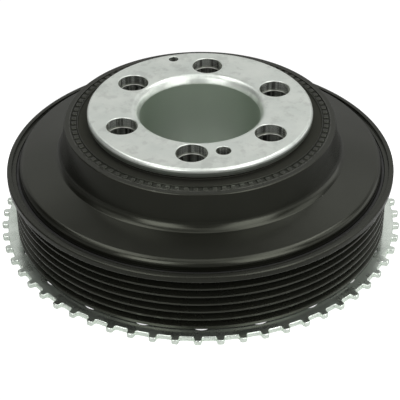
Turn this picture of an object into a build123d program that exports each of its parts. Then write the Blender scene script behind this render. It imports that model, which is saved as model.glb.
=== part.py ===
from build123d import *
import math
import os

# Harmonic balancer of a belt-driven engine: a bolt-on hub, a torsional damper inside it, a rubber-coupled
# belt ring round it and a toothed trigger wheel underneath. Millimetres, +Z along the crankshaft towards
# the front of the engine, origin on the axis at the underside of the trigger wheel.

# --- Trigger wheel --------------------------------------------------------------------------------
wheel_thickness = 2.2
tooth_tip_radius = 82.0
tooth_height = 2.4
tooth_places = 60
teeth_missing = 2
first_missing_tooth = 15
tooth_phase = -0.93          # degrees from +X to the first tooth
tooth_tip_width = 2.5
tooth_root_width = 3.1
tooth_tip_rounding = 0.55
tooth_root_rounding = 0.7
window_count = 21
window_diameter = 9.0
window_rim = 3.5             # metal left between a window and the tooth roots
window_phase = -90.0

# --- Belt ring ------------------------------------------------------------------------------------
belt_radius = 75.5           # over the crests of the ribs
rib_count = 6
rib_pitch = 3.56
groove_angle = 40.0
groove_depth = 2.85
crest_width = 0.7
lower_shoulder = 1.2
rim_flank = 1.94
rim_height = 2.4
rim_overhang = 2.35          # how far the front rim stands out past the crests
rim_rounding = 0.6
ring_wall = 2.65             # metal behind the groove roots
ring_front_bore_step = 1.3   # front bore, inwards from the crests
ledge_depth = 1.0
ledge_width = 1.7
bush_seat_depth = 3.7
running_gap = 0.3            # belt ring over the trigger wheel

# --- Plain bearings between the belt ring and the rest ----------------------------------------------
front_gap = 1.2              # open ring between the carrier and the belt ring
bush_thickness = 1.3
bush_collar = 2.4            # height of the bush's upright collar
bush_inset = 0.2
thrust_ring_thickness = 2.1
thrust_ring_inset = 2.0      # depth of its rebate into the belt ring
thrust_ring_overhang = 1.4

# --- Hub sleeve -----------------------------------------------------------------------------------
bore_radius = 24.0
lip_radius = 3.4
sleeve_wall = 2.2
sleeve_length = 44.0
sleeve_lead_in = 0.8
flange_radius = 44.6
flange_thickness = 4.0
flange_top_rounding = 0.9
flange_under_rounding = 1.3
bolt_count = 6
bolt_hole_diameter = 12.2
bolt_ligament = 0.9          # metal between the sleeve and a bolt hole
bolt_phase = 24.47
dowel_diameter = 5.8
dowel_radius = 32.8
dowel_angle = -74.5
drain_diameter = 3.9
drain_rim = 2.4              # metal between the drain hole and the flange's edge
drain_angle = 105.7

# --- Carrier (black pressing) -----------------------------------------------------------------------
carrier_plate = 4.0
carrier_wall = 4.0
seat_height = 0.7            # raised seat of the flange, over the cup's top
recess_depth = 0.5
recess_width = 5.1
cup_top_width = 5.5          # flat ring between the recess and the cup's edge
cup_edge_step = 0.15
cup_edge_band = 2.0
cup_edge_rounding = 0.5
cup_height = 14.4            # cup edge over the foot
cup_corner_rounding = 1.0    # inside, under the bolt plate
foot_reach = 4.1             # the foot ends this far outside the cup edge
foot_flare = 2.4             # length of the flared foot before it is rounded into the wall
foot_flare_angle = 60.0      # degrees from the axis
foot_rounding = 4.5
face_rise = 3.0              # face edge over the belt ring
face_angle = 9.2
face_edge_rounding = 2.75
face_thickness = 3.5

# --- Rear hub (drawn cup that carries the trigger wheel) --------------------------------------------
rear_sheet = 3.0
rear_bend = 4.0              # outside bend radius
rear_inner_bend = 1.0
nesting_gap = 0.3
wheel_bore_margin = 0.5
rear_flange_reach = 0.8      # the rear flange is this much larger than the coupling ring

# --- Damper and coupling ----------------------------------------------------------------------------
damper_rubber_thickness = 4.0
inertia_wall = 8.5
damper_gap = 1.2             # inertia ring to coupling ring
inertia_bottom_gap = 1.4     # over the rivet heads
inertia_top_gap = 2.5        # under the carrier's face
rubber_setback = 1.0         # a bonded rubber ring is this much shorter at each end
coupling_ring_wall = 2.0
coupling_rubber_thickness = 4.8
coupling_bottom_gap = 1.8
coupling_flange_gap = 0.9
coupling_rounding = 0.8
fit = 0.05                   # radial clearance of seats, bonds and rivets

# --- Rivets of the trigger wheel --------------------------------------------------------------------
rivet_count = 8
rivet_phase = 22.5
rivet_shank = 5.0
rivet_head = 9.0
rivet_sink = 1.5
rivet_button = 8.4
rivet_button_height = 1.6

# --- Heights that follow from the sizes above ---------------------------------------------------------
wheel_top = wheel_thickness
ring_bottom = wheel_top + running_gap
grooves_bottom = ring_bottom + lower_shoulder
groove_mouth = rib_pitch - crest_width
grooves_top = grooves_bottom + rib_count * rib_pitch - crest_width
ring_top = grooves_top + rim_flank + rim_height
bush_seat = ring_top - bush_seat_depth
lip_bottom = bush_seat + bush_thickness
face_edge_top = ring_top + face_rise

# --- Radii that follow, from the belt ring inwards ------------------------------------------------------
groove_root_radius = belt_radius - groove_depth
ring_inner_radius = groove_root_radius - ring_wall
rim_radius = belt_radius + rim_overhang
ring_front_bore = belt_radius - ring_front_bore_step
carrier_radius = ring_front_bore - front_gap
lip_inner_radius = carrier_radius - face_thickness
face_flat_radius = carrier_radius - face_edge_rounding
coupling_outer = ring_inner_radius - coupling_rubber_thickness
coupling_inner = coupling_outer - coupling_ring_wall
inertia_outer = coupling_inner - damper_gap
inertia_inner = inertia_outer - inertia_wall
rear_hub_radius = inertia_inner - damper_rubber_thickness
rear_hub_inner = rear_hub_radius - rear_sheet
cup_radius = rear_hub_radius + nesting_gap + carrier_wall
foot_radius = cup_radius + foot_reach
recess_radius = cup_radius - cup_top_width
seat_radius = recess_radius - recess_width

# --- Radii of the hub sleeve and the trigger wheel --------------------------------------------------------
sleeve_radius = bore_radius + sleeve_wall
carrier_bore = sleeve_radius + fit
bolt_circle_radius = sleeve_radius + bolt_ligament + bolt_hole_diameter / 2
drain_radius = flange_radius - drain_rim - drain_diameter / 2
rear_flange_radius = coupling_outer + rear_flange_reach
wheel_bore = rear_hub_inner + rear_bend + wheel_bore_margin
tooth_root_radius = tooth_tip_radius - tooth_height
window_radius = tooth_root_radius - window_rim - window_diameter / 2
rivet_radius = (wheel_bore + rear_flange_radius) / 2

# --- Heights of the carrier and the hub ------------------------------------------------------------------
face_slope = math.tan(math.radians(face_angle))
foot_height = face_edge_top + (face_flat_radius - foot_radius) * face_slope
cup_top = foot_height + cup_height
seat_top = cup_top + seat_height
flange_top = seat_top + flange_thickness
plate_bottom = seat_top - carrier_plate
rear_plate_bottom = plate_bottom - rear_sheet
rear_flange_top = wheel_top + rear_sheet
thrust_ring_top = wheel_top + thrust_ring_thickness
coupling_bottom = rear_flange_top + coupling_bottom_gap
inertia_bottom = rear_flange_top + rivet_button_height + inertia_bottom_gap

MIN_Z = (Align.CENTER, Align.CENTER, Align.MIN)


def face_top(radius):
    """Height of the carrier's conical face at a radius."""
    return face_edge_top + (face_flat_radius - radius) * face_slope


def face_under(radius):
    """Height of the underside of that face at a radius."""
    return face_top(radius) - face_thickness / math.cos(math.radians(face_angle))


inertia_top = face_under(inertia_outer) - inertia_top_gap


def half_section(corners):
    """Face in the XZ plane through (radius, height, corner rounding) corners."""
    outline = Plane.XZ * Polyline(*[(radius, height) for radius, height, _ in corners], close=True)
    face = make_face(outline).face()
    for radius, height, rounding in corners:
        if rounding > 0:
            corner = face.vertices().sort_by_distance((radius, 0, height))[0]
            face = face.fillet_2d(rounding, [corner])
    return face


def turned(corners):
    """Solid of revolution about Z with the given half section."""
    return revolve(half_section(corners), Axis.Z)


def drill(radius, angle, diameter, bottom, top):
    """Vertical cutter for a hole at a polar place, from one height to another."""
    place = Rot(0, 0, angle) * Pos(radius, 0, bottom)
    return place * Cylinder(diameter / 2, top - bottom, align=MIN_Z)


def bolt_cutters(bottom, top):
    """Cutters for the bolt holes and the dowel hole, which run through every plate at the bolts."""
    pitch = 360 / bolt_count
    holes = [
        drill(bolt_circle_radius, bolt_phase + place * pitch, bolt_hole_diameter, bottom, top)
        for place in range(bolt_count)
    ]
    return holes + [drill(dowel_radius, dowel_angle, dowel_diameter, bottom, top)]


def make_hub_sleeve():
    """Plated pressing: the bolt flange, with a sleeve drawn down from its rolled bore."""
    sleeve_bottom = flange_top - sleeve_length
    body = turned([
        (bore_radius, sleeve_bottom, 0),
        (sleeve_radius - sleeve_lead_in, sleeve_bottom, 0),
        (sleeve_radius, sleeve_bottom + sleeve_lead_in, 0),
        (sleeve_radius, seat_top, 0),
        (flange_radius, seat_top, flange_under_rounding),
        (flange_radius, flange_top, flange_top_rounding),
        (bore_radius, flange_top, lip_radius),
    ])
    drain = drill(drain_radius, drain_angle, drain_diameter, seat_top, flange_top)
    return body - bolt_cutters(seat_top, flange_top) - drain


def make_carrier():
    """Black pressing: bolt plate, cup wall, conical face and turned-down lip."""
    flare = math.radians(foot_flare_angle)
    flare_radius = foot_radius - foot_flare * math.sin(flare)
    flare_height = foot_height + foot_flare * math.cos(flare)
    inner_foot_radius = flare_radius - carrier_wall + face_thickness * face_slope
    recess_height = cup_top - recess_depth
    band_radius = cup_radius - cup_edge_band
    band_height = cup_top - cup_edge_step
    body = turned([
        (carrier_bore, plate_bottom, 0),
        (carrier_bore, seat_top, 0),
        (seat_radius, seat_top, 0),
        (seat_radius, recess_height, 0),
        (recess_radius, recess_height, 0),
        (recess_radius, cup_top, 0),
        (band_radius, cup_top, 0),
        (band_radius, band_height, 0),
        (cup_radius, band_height, cup_edge_rounding),
        (flare_radius, flare_height, foot_rounding),
        (foot_radius, foot_height, 0),
        (carrier_radius, face_top(carrier_radius), face_edge_rounding),
        (carrier_radius, lip_bottom, 0),
        (lip_inner_radius, lip_bottom, 0),
        (lip_inner_radius, face_under(lip_inner_radius), 0),
        (inner_foot_radius, face_under(inner_foot_radius), foot_rounding),
        (cup_radius - carrier_wall, plate_bottom, cup_corner_rounding),
    ])
    drain = drill(drain_radius, drain_angle, drain_diameter, plate_bottom, seat_top)
    return body - bolt_cutters(plate_bottom, seat_top) - drain


def rivet_solid(clearance):
    """One countersunk rivet, or with a clearance the cutter for its hole."""
    shank = rivet_shank / 2 + clearance
    head = rivet_head / 2 + clearance
    return turned([
        (0, 0, 0),
        (head, 0, 0),
        (shank, rivet_sink, 0),
        (shank, rear_flange_top, 0),
        (0, rear_flange_top, 0),
    ])


def closing_head():
    """Domed closing head of a rivet, on the inside of the rear hub's flange."""
    half_width = rivet_button / 2
    dome_radius = (half_width**2 + rivet_button_height**2) / (2 * rivet_button_height)
    centre_height = rear_flange_top + rivet_button_height - dome_radius
    slab = Pos(0, 0, rear_flange_top) * Cylinder(half_width, rivet_button_height, align=MIN_Z)
    return slab & (Pos(0, 0, centre_height) * Sphere(dome_radius))


def make_rear_hub():
    """Drawn cup nested in the carrier: bolt plate, wall, and the flange for the trigger wheel."""
    body = turned([
        (carrier_bore, rear_plate_bottom, 0),
        (carrier_bore, plate_bottom, 0),
        (rear_hub_radius, plate_bottom, rear_bend),
        (rear_hub_radius, rear_flange_top, rear_inner_bend),
        (rear_flange_radius, rear_flange_top, 0),
        (rear_flange_radius, wheel_top, 0),
        (rear_hub_inner, wheel_top, rear_bend),
        (rear_hub_inner, rear_plate_bottom, rear_inner_bend),
    ])
    rivet_holes = [place * rivet_solid(fit) for place in rivet_places()]
    return body - bolt_cutters(rear_plate_bottom, plate_bottom) - rivet_holes


def rivet_places():
    """Where the rivets stand, round the axis."""
    return PolarLocations(rivet_radius, rivet_count, rivet_phase).locations


def make_wheel_rivets():
    """All rivets that hold the trigger wheel to the rear hub."""
    rivet = rivet_solid(0) + closing_head()
    return Compound(children=[place * rivet for place in rivet_places()])


def make_damper_rubber():
    """Rubber ring bonded between the rear hub's wall and the inertia ring."""
    return turned([
        (rear_hub_radius + fit, inertia_bottom + rubber_setback, 0),
        (inertia_inner - fit, inertia_bottom + rubber_setback, 0),
        (inertia_inner - fit, inertia_top - rubber_setback, 0),
        (rear_hub_radius + fit, inertia_top - rubber_setback, 0),
    ])


def make_inertia_ring():
    """Cast iron ring that swings against the crankshaft's twist."""
    return turned([
        (inertia_inner, inertia_bottom, 0),
        (inertia_outer, inertia_bottom, 0),
        (inertia_outer, inertia_top, 0),
        (inertia_inner, inertia_top, 0),
    ])


def make_coupling_ring():
    """Flanged steel ring welded under the carrier's face; the belt ring's rubber is bonded to it."""
    flange_edge = lip_inner_radius - coupling_flange_gap
    return turned([
        (coupling_inner, coupling_bottom, 0),
        (coupling_inner, face_under(coupling_inner), 0),
        (flange_edge, face_under(flange_edge), 0),
        (flange_edge, face_under(flange_edge) - coupling_ring_wall, 0),
        (coupling_outer, face_under(coupling_outer) - coupling_ring_wall, coupling_rounding),
        (coupling_outer, coupling_bottom, 0),
    ])


def make_coupling_rubber():
    """Rubber ring that turns the belt ring."""
    return turned([
        (coupling_outer + fit, coupling_bottom + rubber_setback, 0),
        (ring_inner_radius - fit, coupling_bottom + rubber_setback, 0),
        (ring_inner_radius - fit, bush_seat - rubber_setback, 0),
        (coupling_outer + fit, bush_seat - rubber_setback, 0),
    ])


def make_bearing_bush():
    """Flanged plastic bush between the carrier's lip and the belt ring."""
    collar_inner = carrier_radius + fit
    collar_outer = ring_front_bore - fit
    return turned([
        (ring_inner_radius + bush_inset, bush_seat, 0),
        (collar_outer, bush_seat, 0),
        (collar_outer, bush_seat + bush_collar, 0),
        (collar_inner, bush_seat + bush_collar, 0),
        (collar_inner, lip_bottom, 0),
        (ring_inner_radius + bush_inset, lip_bottom, 0),
    ])


def make_thrust_ring():
    """Flat plastic ring that carries the belt ring on the trigger wheel."""
    inner = ring_inner_radius - thrust_ring_overhang
    outer = ring_inner_radius + thrust_ring_inset - fit
    return turned([
        (inner, wheel_top, 0),
        (outer, wheel_top, 0),
        (outer, thrust_ring_top, 0),
        (inner, thrust_ring_top, 0),
    ])


def groove_corners():
    """Outline of the belt grooves, from the lowest to the highest."""
    flank = groove_depth * math.tan(math.radians(groove_angle / 2))
    corners = []
    for groove in range(rib_count):
        foot = grooves_bottom + groove * rib_pitch
        corners.append((belt_radius, foot, 0))
        corners.append((groove_root_radius, foot + flank, 0))
        corners.append((groove_root_radius, foot + groove_mouth - flank, 0))
        corners.append((belt_radius, foot + groove_mouth, 0))
    return corners


def make_belt_ring():
    """Ribbed ring that the belt runs on, with a stepped front rim."""
    rebate_radius = ring_inner_radius + thrust_ring_inset
    ledge_radius = ring_front_bore + ledge_width
    ledge_height = ring_top - ledge_depth
    return turned([
        (rebate_radius, ring_bottom, 0),
        (belt_radius, ring_bottom, 0),
        *groove_corners(),
        (rim_radius, grooves_top + rim_flank, rim_rounding),
        (rim_radius, ring_top, rim_rounding),
        (ledge_radius, ring_top, 0),
        (ledge_radius, ledge_height, 0),
        (ring_front_bore, ledge_height, 0),
        (ring_front_bore, bush_seat, 0),
        (ring_inner_radius, bush_seat, 0),
        (ring_inner_radius, thrust_ring_top, 0),
        (rebate_radius, thrust_ring_top, 0),
    ])


def tooth_face():
    """Face of one tooth along +X, flared into the disc and reaching a little way into it."""
    inside = tooth_root_radius - tooth_height
    half_root = tooth_root_width / 2
    half_tip = tooth_tip_width / 2
    spread = half_root + tooth_root_rounding
    base = math.sqrt(tooth_root_radius**2 - spread**2)
    bend = tooth_root_rounding * math.sqrt(0.5)
    neck = base + tooth_root_rounding
    lower_root = ThreePointArc((base, -spread), (neck - bend, bend - spread), (neck, -half_root))
    upper_root = ThreePointArc((neck, half_root), (neck - bend, spread - bend), (base, spread))
    tip_corners = [(tooth_tip_radius, -half_tip), (tooth_tip_radius, half_tip)]
    tip = Polyline((neck, -half_root), *tip_corners, (neck, half_root))
    back = Polyline((base, spread), (inside, spread), (inside, -spread), (base, -spread))
    tooth = make_face(lower_root + tip + upper_root + back).face()
    corners = [corner for corner in tooth.vertices() if corner.X > tooth_tip_radius - tooth_tip_rounding / 2]
    return tooth.fillet_2d(tooth_tip_rounding, corners)


def make_trigger_wheel():
    """Stamped toothed ring with a two-tooth gap, a row of windows and countersunk rivet holes."""
    missing = range(first_missing_tooth, first_missing_tooth + teeth_missing)
    places = [place for place in range(tooth_places) if place not in missing]
    tooth = tooth_face()
    teeth = [Rot(0, 0, tooth_phase + place * 360 / tooth_places) * tooth for place in places]
    windows = PolarLocations(window_radius, window_count, window_phase)
    openings = [Circle(wheel_bore)] + [place * Circle(window_diameter / 2) for place in windows]
    plate = extrude(Circle(tooth_root_radius) + teeth - openings, wheel_thickness)
    return plate - [place * rivet_solid(fit) for place in rivet_places()]


nodes = {
    "hub_sleeve": make_hub_sleeve(),
    "carrier": make_carrier(),
    "rear_hub": make_rear_hub(),
    "damper_rubber": make_damper_rubber(),
    "inertia_ring": make_inertia_ring(),
    "coupling_ring": make_coupling_ring(),
    "coupling_rubber": make_coupling_rubber(),
    "bearing_bush": make_bearing_bush(),
    "thrust_ring": make_thrust_ring(),
    "belt_ring": make_belt_ring(),
    "trigger_wheel": make_trigger_wheel(),
    "wheel_rivets": make_wheel_rivets(),
}

os.makedirs("parts", exist_ok=True)
for name, shape in nodes.items():
    export_step(shape, f"parts/{name}.step")
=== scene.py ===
"""Looks of a harmonic balancer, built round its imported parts.

A plated bolt flange with a rolled bore sits on a black stepped carrier, inside a black ribbed belt ring, over
a plated toothed trigger wheel. Sizes are in millimetres and angles in degrees until a mesh is made. Meshes,
the camera and the lamps are in metres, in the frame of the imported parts.
"""

import logging
import math
from abc import ABC, abstractmethod
from collections.abc import Iterable, Sequence
from dataclasses import dataclass, replace
from enum import Enum

import bmesh
import bpy
from mathutils import Matrix, Vector
from mathutils.geometry import delaunay_2d_cdt

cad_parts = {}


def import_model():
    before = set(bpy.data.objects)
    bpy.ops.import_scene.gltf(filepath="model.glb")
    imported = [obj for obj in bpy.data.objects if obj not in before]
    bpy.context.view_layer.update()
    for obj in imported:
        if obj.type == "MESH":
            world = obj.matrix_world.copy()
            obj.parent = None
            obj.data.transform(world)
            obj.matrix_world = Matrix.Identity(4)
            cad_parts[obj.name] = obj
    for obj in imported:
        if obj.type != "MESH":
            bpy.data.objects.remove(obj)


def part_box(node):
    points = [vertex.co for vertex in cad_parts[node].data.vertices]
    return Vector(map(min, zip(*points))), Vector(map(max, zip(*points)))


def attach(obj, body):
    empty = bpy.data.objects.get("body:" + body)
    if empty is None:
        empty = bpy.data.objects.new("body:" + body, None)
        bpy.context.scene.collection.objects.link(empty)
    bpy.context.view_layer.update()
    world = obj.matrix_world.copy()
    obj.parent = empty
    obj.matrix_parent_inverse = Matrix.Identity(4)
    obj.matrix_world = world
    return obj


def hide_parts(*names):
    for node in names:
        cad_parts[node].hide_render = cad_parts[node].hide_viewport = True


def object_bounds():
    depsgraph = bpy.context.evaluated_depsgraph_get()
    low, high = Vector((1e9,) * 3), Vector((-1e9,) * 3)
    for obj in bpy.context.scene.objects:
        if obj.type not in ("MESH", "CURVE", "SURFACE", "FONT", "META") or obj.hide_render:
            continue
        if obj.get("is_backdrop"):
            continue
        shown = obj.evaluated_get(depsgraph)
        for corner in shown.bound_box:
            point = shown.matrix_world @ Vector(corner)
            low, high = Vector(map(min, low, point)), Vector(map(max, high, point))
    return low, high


LOG = logging.getLogger("harmonic_balancer")
MILLIMETRE = 0.001
TURN_STEPS = 360
ROUND_STEPS = 48
BODY = "root"

Point = tuple[float, float]
Point3 = tuple[float, float, float]
Piece = bpy.types.Object
Material = bpy.types.Material
Tree = bpy.types.NodeTree
Socket = bpy.types.NodeSocket
Colour = tuple[float, float, float]


class Node(str, Enum):
    """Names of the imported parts."""

    HUB_SLEEVE = "hub_sleeve"
    CARRIER = "carrier"
    REAR_HUB = "rear_hub"
    DAMPER_RUBBER = "damper_rubber"
    INERTIA_RING = "inertia_ring"
    COUPLING_RING = "coupling_ring"
    COUPLING_RUBBER = "coupling_rubber"
    BEARING_BUSH = "bearing_bush"
    THRUST_RING = "thrust_ring"
    BELT_RING = "belt_ring"
    TRIGGER_WHEEL = "trigger_wheel"
    WHEEL_RIVETS = "wheel_rivets"


class Slot(str, Enum):
    """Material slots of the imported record."""

    ZINC_PLATE = "zinc_plate"
    REAR_ZINC = "rear_zinc"
    WHEEL_ZINC = "wheel_zinc"
    BLACK_COAT = "black_coat"
    BLACK_RING = "black_ring"
    BONDED_RUBBER = "bonded_rubber"
    CAST_IRON = "cast_iron"
    PHOSPHATED_STEEL = "phosphated_steel"
    BEARING_PLASTIC = "bearing_plastic"
    RIVET_STEEL = "rivet_steel"


# --- Shapes -------------------------------------------------------------------------------------


@dataclass(frozen=True)
class Corner:
    """A corner of an outline: two coordinates and the radius it is rounded to."""

    across: float
    along: float
    rounding: float = 0.0


@dataclass(frozen=True)
class Outline:
    """An outline of straight lines with rounded corners.

    Attributes:
        corners: The corners in order.
        closed: Whether the last corner is joined to the first.
        arc_step: Largest turn of one piece of a rounded corner, in degrees.
    """

    corners: Sequence[Corner]
    closed: bool = True
    arc_step: float = 12.0

    def points(self) -> list[Point]:
        """Turn each rounded corner into points along its arc.

        Returns:
            The outline's points in order.
        """
        count = len(self.corners)
        points: list[Point] = []
        for index, corner in enumerate(self.corners):
            at_end = not self.closed and index in (0, count - 1)
            if corner.rounding == 0.0 or at_end:
                points.append((corner.across, corner.along))
                continue
            before = self.corners[index - 1]
            after = self.corners[(index + 1) % count]
            points.extend(self._arc(before, corner, after))
        return points

    def _arc(self, before: Corner, corner: Corner, after: Corner) -> list[Point]:
        """Return the points of one rounded corner.

        Args:
            before: The corner before it.
            corner: The corner itself.
            after: The corner after it.

        Returns:
            Points from one tangent point to the other.
        """
        tip = Vector((corner.across, corner.along))
        back = (Vector((before.across, before.along)) - tip).normalized()
        ahead = (Vector((after.across, after.along)) - tip).normalized()
        half_angle = back.angle(ahead) / 2
        centre = tip + (back + ahead).normalized() * corner.rounding / math.sin(half_angle)
        start = tip + back * corner.rounding / math.tan(half_angle) - centre
        turn = math.pi - 2 * half_angle
        sense = 1.0 if back.cross(ahead) < 0 else -1.0
        steps = max(2, math.ceil(math.degrees(turn) / self.arc_step))
        arc = []
        for step in range(steps + 1):
            spoke = Matrix.Rotation(sense * turn * step / steps, 2) @ start
            arc.append((centre.x + spoke.x, centre.y + spoke.y))
        return arc


class Draft:
    """A mesh in the making, in millimetres."""

    def __init__(self) -> None:
        """Start with nothing."""
        self.places: list[Point3] = []
        self.faces: list[list[int]] = []

    def ring(self, places: Iterable[Point3]) -> list[int]:
        """Add points.

        Args:
            places: Where they are.

        Returns:
            Their numbers.
        """
        first = len(self.places)
        self.places.extend(places)
        return list(range(first, len(self.places)))

    def skin(self, rows: Sequence[Sequence[int]], closed: bool = False) -> None:
        """Join each row of points to the next one with four-sided faces.

        Args:
            rows: Point numbers of the rows, all of the same length.
            closed: Whether the rows close on themselves.
        """
        for one, other in zip(rows, rows[1:]):
            for span in range(len(one) if closed else len(one) - 1):
                after = (span + 1) % len(one)
                self.faces.append([one[span], one[after], other[after], other[span]])

    def piece(self, name: str) -> Piece:
        """Put the mesh in the scene in metres, with doubles merged and faces outwards.

        Args:
            name: Name of the object and its mesh.

        Returns:
            The new object.
        """
        mesh = bpy.data.meshes.new(name)
        places = [[value * MILLIMETRE for value in place] for place in self.places]
        mesh.from_pydata(places, [], [list(dict.fromkeys(face)) for face in self.faces])
        clean(mesh)
        return add_object(name, mesh)


def polar(radius: float, angle: float, centre: Point = (0.0, 0.0)) -> Point:
    """Return the point at a radius and an angle in degrees from +X, round a centre."""
    turn = math.radians(angle)
    return (centre[0] + radius * math.cos(turn), centre[1] + radius * math.sin(turn))


def clean(mesh: bpy.types.Mesh) -> None:
    """Merge a mesh's doubles and point its faces outwards.

    Args:
        mesh: The mesh, which is changed in place.
    """
    merge_distance = 2e-6
    work = bmesh.new()
    work.from_mesh(mesh)
    bmesh.ops.remove_doubles(work, verts=work.verts, dist=merge_distance)
    bmesh.ops.dissolve_degenerate(work, edges=work.edges, dist=merge_distance / 2)
    bmesh.ops.recalc_face_normals(work, faces=work.faces)
    work.to_mesh(mesh)
    work.free()


def add_object(name: str, mesh: bpy.types.Mesh) -> Piece:
    """Put a mesh in the scene at the origin.

    Args:
        name: Name of its object.
        mesh: The mesh.

    Returns:
        The new object.
    """
    piece = bpy.data.objects.new(name, mesh)
    bpy.context.scene.collection.objects.link(piece)
    return piece


def bake(piece: Piece) -> None:
    """Turn an object's modifiers into a plain mesh of its own.

    Args:
        piece: The object.
    """
    graph = bpy.context.evaluated_depsgraph_get()
    evaluated = piece.evaluated_get(graph)
    mesh = bpy.data.meshes.new_from_object(evaluated, preserve_all_data_layers=True, depsgraph=graph)
    mesh.name = piece.name
    piece.modifiers.clear()
    piece.data = mesh


def discard(*pieces: Piece) -> None:
    """Remove helper objects."""
    for piece in pieces:
        bpy.data.objects.remove(piece)


def shade(piece: Piece, sharp_angle: float = 32.0) -> None:
    """Shade an object smooth between its sharp edges, with flat faces kept flat.

    Args:
        piece: The object.
        sharp_angle: Edges that turn more than this many degrees stay sharp.
    """
    piece.data.shade_smooth()
    piece.data.set_sharp_from_angle(angle=math.radians(sharp_angle))
    weighted = piece.modifiers.new("weighted_normals", "WEIGHTED_NORMAL")
    weighted.mode = "FACE_AREA"
    weighted.keep_sharp = True
    bake(piece)


def turned(name: str, outline: Outline, steps: int = TURN_STEPS, centre: Point = (0.0, 0.0)) -> Piece:
    """Put a surface of revolution in the scene.

    Args:
        name: Name of the object and its mesh.
        outline: Half section, as (radius, height).
        steps: Number of faces round the axis.
        centre: Where the upright axis stands.

    Returns:
        The new object.
    """
    draft = Draft()
    rings: list[list[int]] = []
    for radius, height in outline.points():
        if radius == 0.0:
            rings.append(draft.ring([(*centre, height)]) * steps)
            continue
        spokes = (polar(radius, 360.0 * step / steps, centre) for step in range(steps))
        rings.append(draft.ring((x, y, height) for x, y in spokes))
    draft.skin(rings + rings[:1] if outline.closed else rings, closed=True)
    return draft.piece(name)


class Repeater:
    """Geometry Nodes tree that repeats an object's own mesh round the upright axis, or up along it."""

    TREE = "repeat_round_axis"
    MERGE_DISTANCE = 0.002
    INPUTS = {
        "Geometry": "NodeSocketGeometry",
        "Count": "NodeSocketInt",
        "First Angle": "NodeSocketFloat",
        "Angle Step": "NodeSocketFloat",
        "Rise Step": "NodeSocketFloat",
        "Merge Distance": "NodeSocketFloat",
        "Material": "NodeSocketMaterial",
    }
    NODES = {
        "given": "NodeGroupInput",
        "line": "GeometryNodeMeshLine",
        "rise": "ShaderNodeCombineXYZ",
        "index": "GeometryNodeInputIndex",
        "angle": "ShaderNodeMath",
        "turn": "ShaderNodeCombineXYZ",
        "rotation": "FunctionNodeEulerToRotation",
        "copies": "GeometryNodeInstanceOnPoints",
        "real": "GeometryNodeRealizeInstances",
        "merge": "GeometryNodeMergeByDistance",
        "paint": "GeometryNodeSetMaterial",
        "result": "NodeGroupOutput",
    }
    LINKS = (
        ("given", "Rise Step", "rise", "Z"),
        ("given", "Count", "line", "Count"),
        ("rise", 0, "line", "Offset"),
        ("index", 0, "angle", 0),
        ("given", "Angle Step", "angle", 1),
        ("given", "First Angle", "angle", 2),
        ("angle", 0, "turn", "Z"),
        ("turn", 0, "rotation", 0),
        ("line", "Mesh", "copies", "Points"),
        ("given", "Geometry", "copies", "Instance"),
        ("rotation", 0, "copies", "Rotation"),
        ("copies", "Instances", "real", "Geometry"),
        ("real", "Geometry", "merge", "Geometry"),
        ("given", "Merge Distance", "merge", "Distance"),
        ("merge", "Geometry", "paint", "Geometry"),
        ("given", "Material", "paint", "Material"),
        ("paint", "Geometry", "result", "Geometry"),
    )

    def __init__(self) -> None:
        """Build the tree."""
        self.tree = bpy.data.node_groups.new(self.TREE, "GeometryNodeTree")
        self.tree.is_modifier = True
        sockets = self.tree.interface
        for name, kind in self.INPUTS.items():
            sockets.new_socket(name, in_out="INPUT", socket_type=kind)
        sockets.new_socket("Geometry", in_out="OUTPUT", socket_type="NodeSocketGeometry")
        nodes = {name: self.tree.nodes.new(kind) for name, kind in self.NODES.items()}
        nodes["angle"].operation = "MULTIPLY_ADD"
        for start, output, end, end_input in self.LINKS:
            self.tree.links.new(nodes[start].outputs[output], nodes[end].inputs[end_input])

    def _identifier(self, name: str) -> str:
        """Find an input socket of the tree.

        Args:
            name: The socket's name.

        Returns:
            The socket's identifier.
        """
        for item in self.tree.interface.items_tree:
            if item.item_type == "SOCKET" and item.in_out == "INPUT" and item.name == name:
                return item.identifier
        raise KeyError(name)

    def repeat(
        self,
        piece: Piece,
        count: int,
        material: Material,
        first_angle: float = 0.0,
        angle_step: float = 0.0,
        rise_step: float = 0.0,
    ) -> Piece:
        """Replace an object's mesh by copies of it.

        Args:
            piece: The object with the mesh to repeat.
            count: How many copies there are in all.
            material: What the copies are made of.
            first_angle: Angle of the first copy, in degrees.
            angle_step: Angle from one copy to the next, in degrees.
            rise_step: Height from one copy to the next, in millimetres.

        Returns:
            The same object, with a plain mesh.
        """
        values = {
            "Count": count,
            "First Angle": math.radians(first_angle),
            "Angle Step": math.radians(angle_step),
            "Rise Step": rise_step * MILLIMETRE,
            "Merge Distance": self.MERGE_DISTANCE * MILLIMETRE,
            "Material": material,
        }
        modifier = piece.modifiers.new("repeat", "NODES")
        modifier.node_group = self.tree
        for name, value in values.items():
            modifier[self._identifier(name)] = value
        bake(piece)
        return piece


def join(name: str, pieces: Sequence[Piece]) -> Piece:
    """Join objects into one clean mesh and remove them.

    Args:
        name: Name of the new object.
        pieces: The objects to join.

    Returns:
        The new object.
    """
    work = bmesh.new()
    for piece in pieces:
        work.from_mesh(piece.data)
    mesh = bpy.data.meshes.new(name)
    work.to_mesh(mesh)
    work.free()
    clean(mesh)
    discard(*pieces)
    return add_object(name, mesh)


def paint(piece: Piece, material: Material) -> None:
    """Give an object one material all over.

    Args:
        piece: The object.
        material: The material.
    """
    piece.data.materials.clear()
    piece.data.materials.append(material)
    piece.data.polygons.foreach_set("material_index", [0] * len(piece.data.polygons))


# --- Holes --------------------------------------------------------------------------------------


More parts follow.
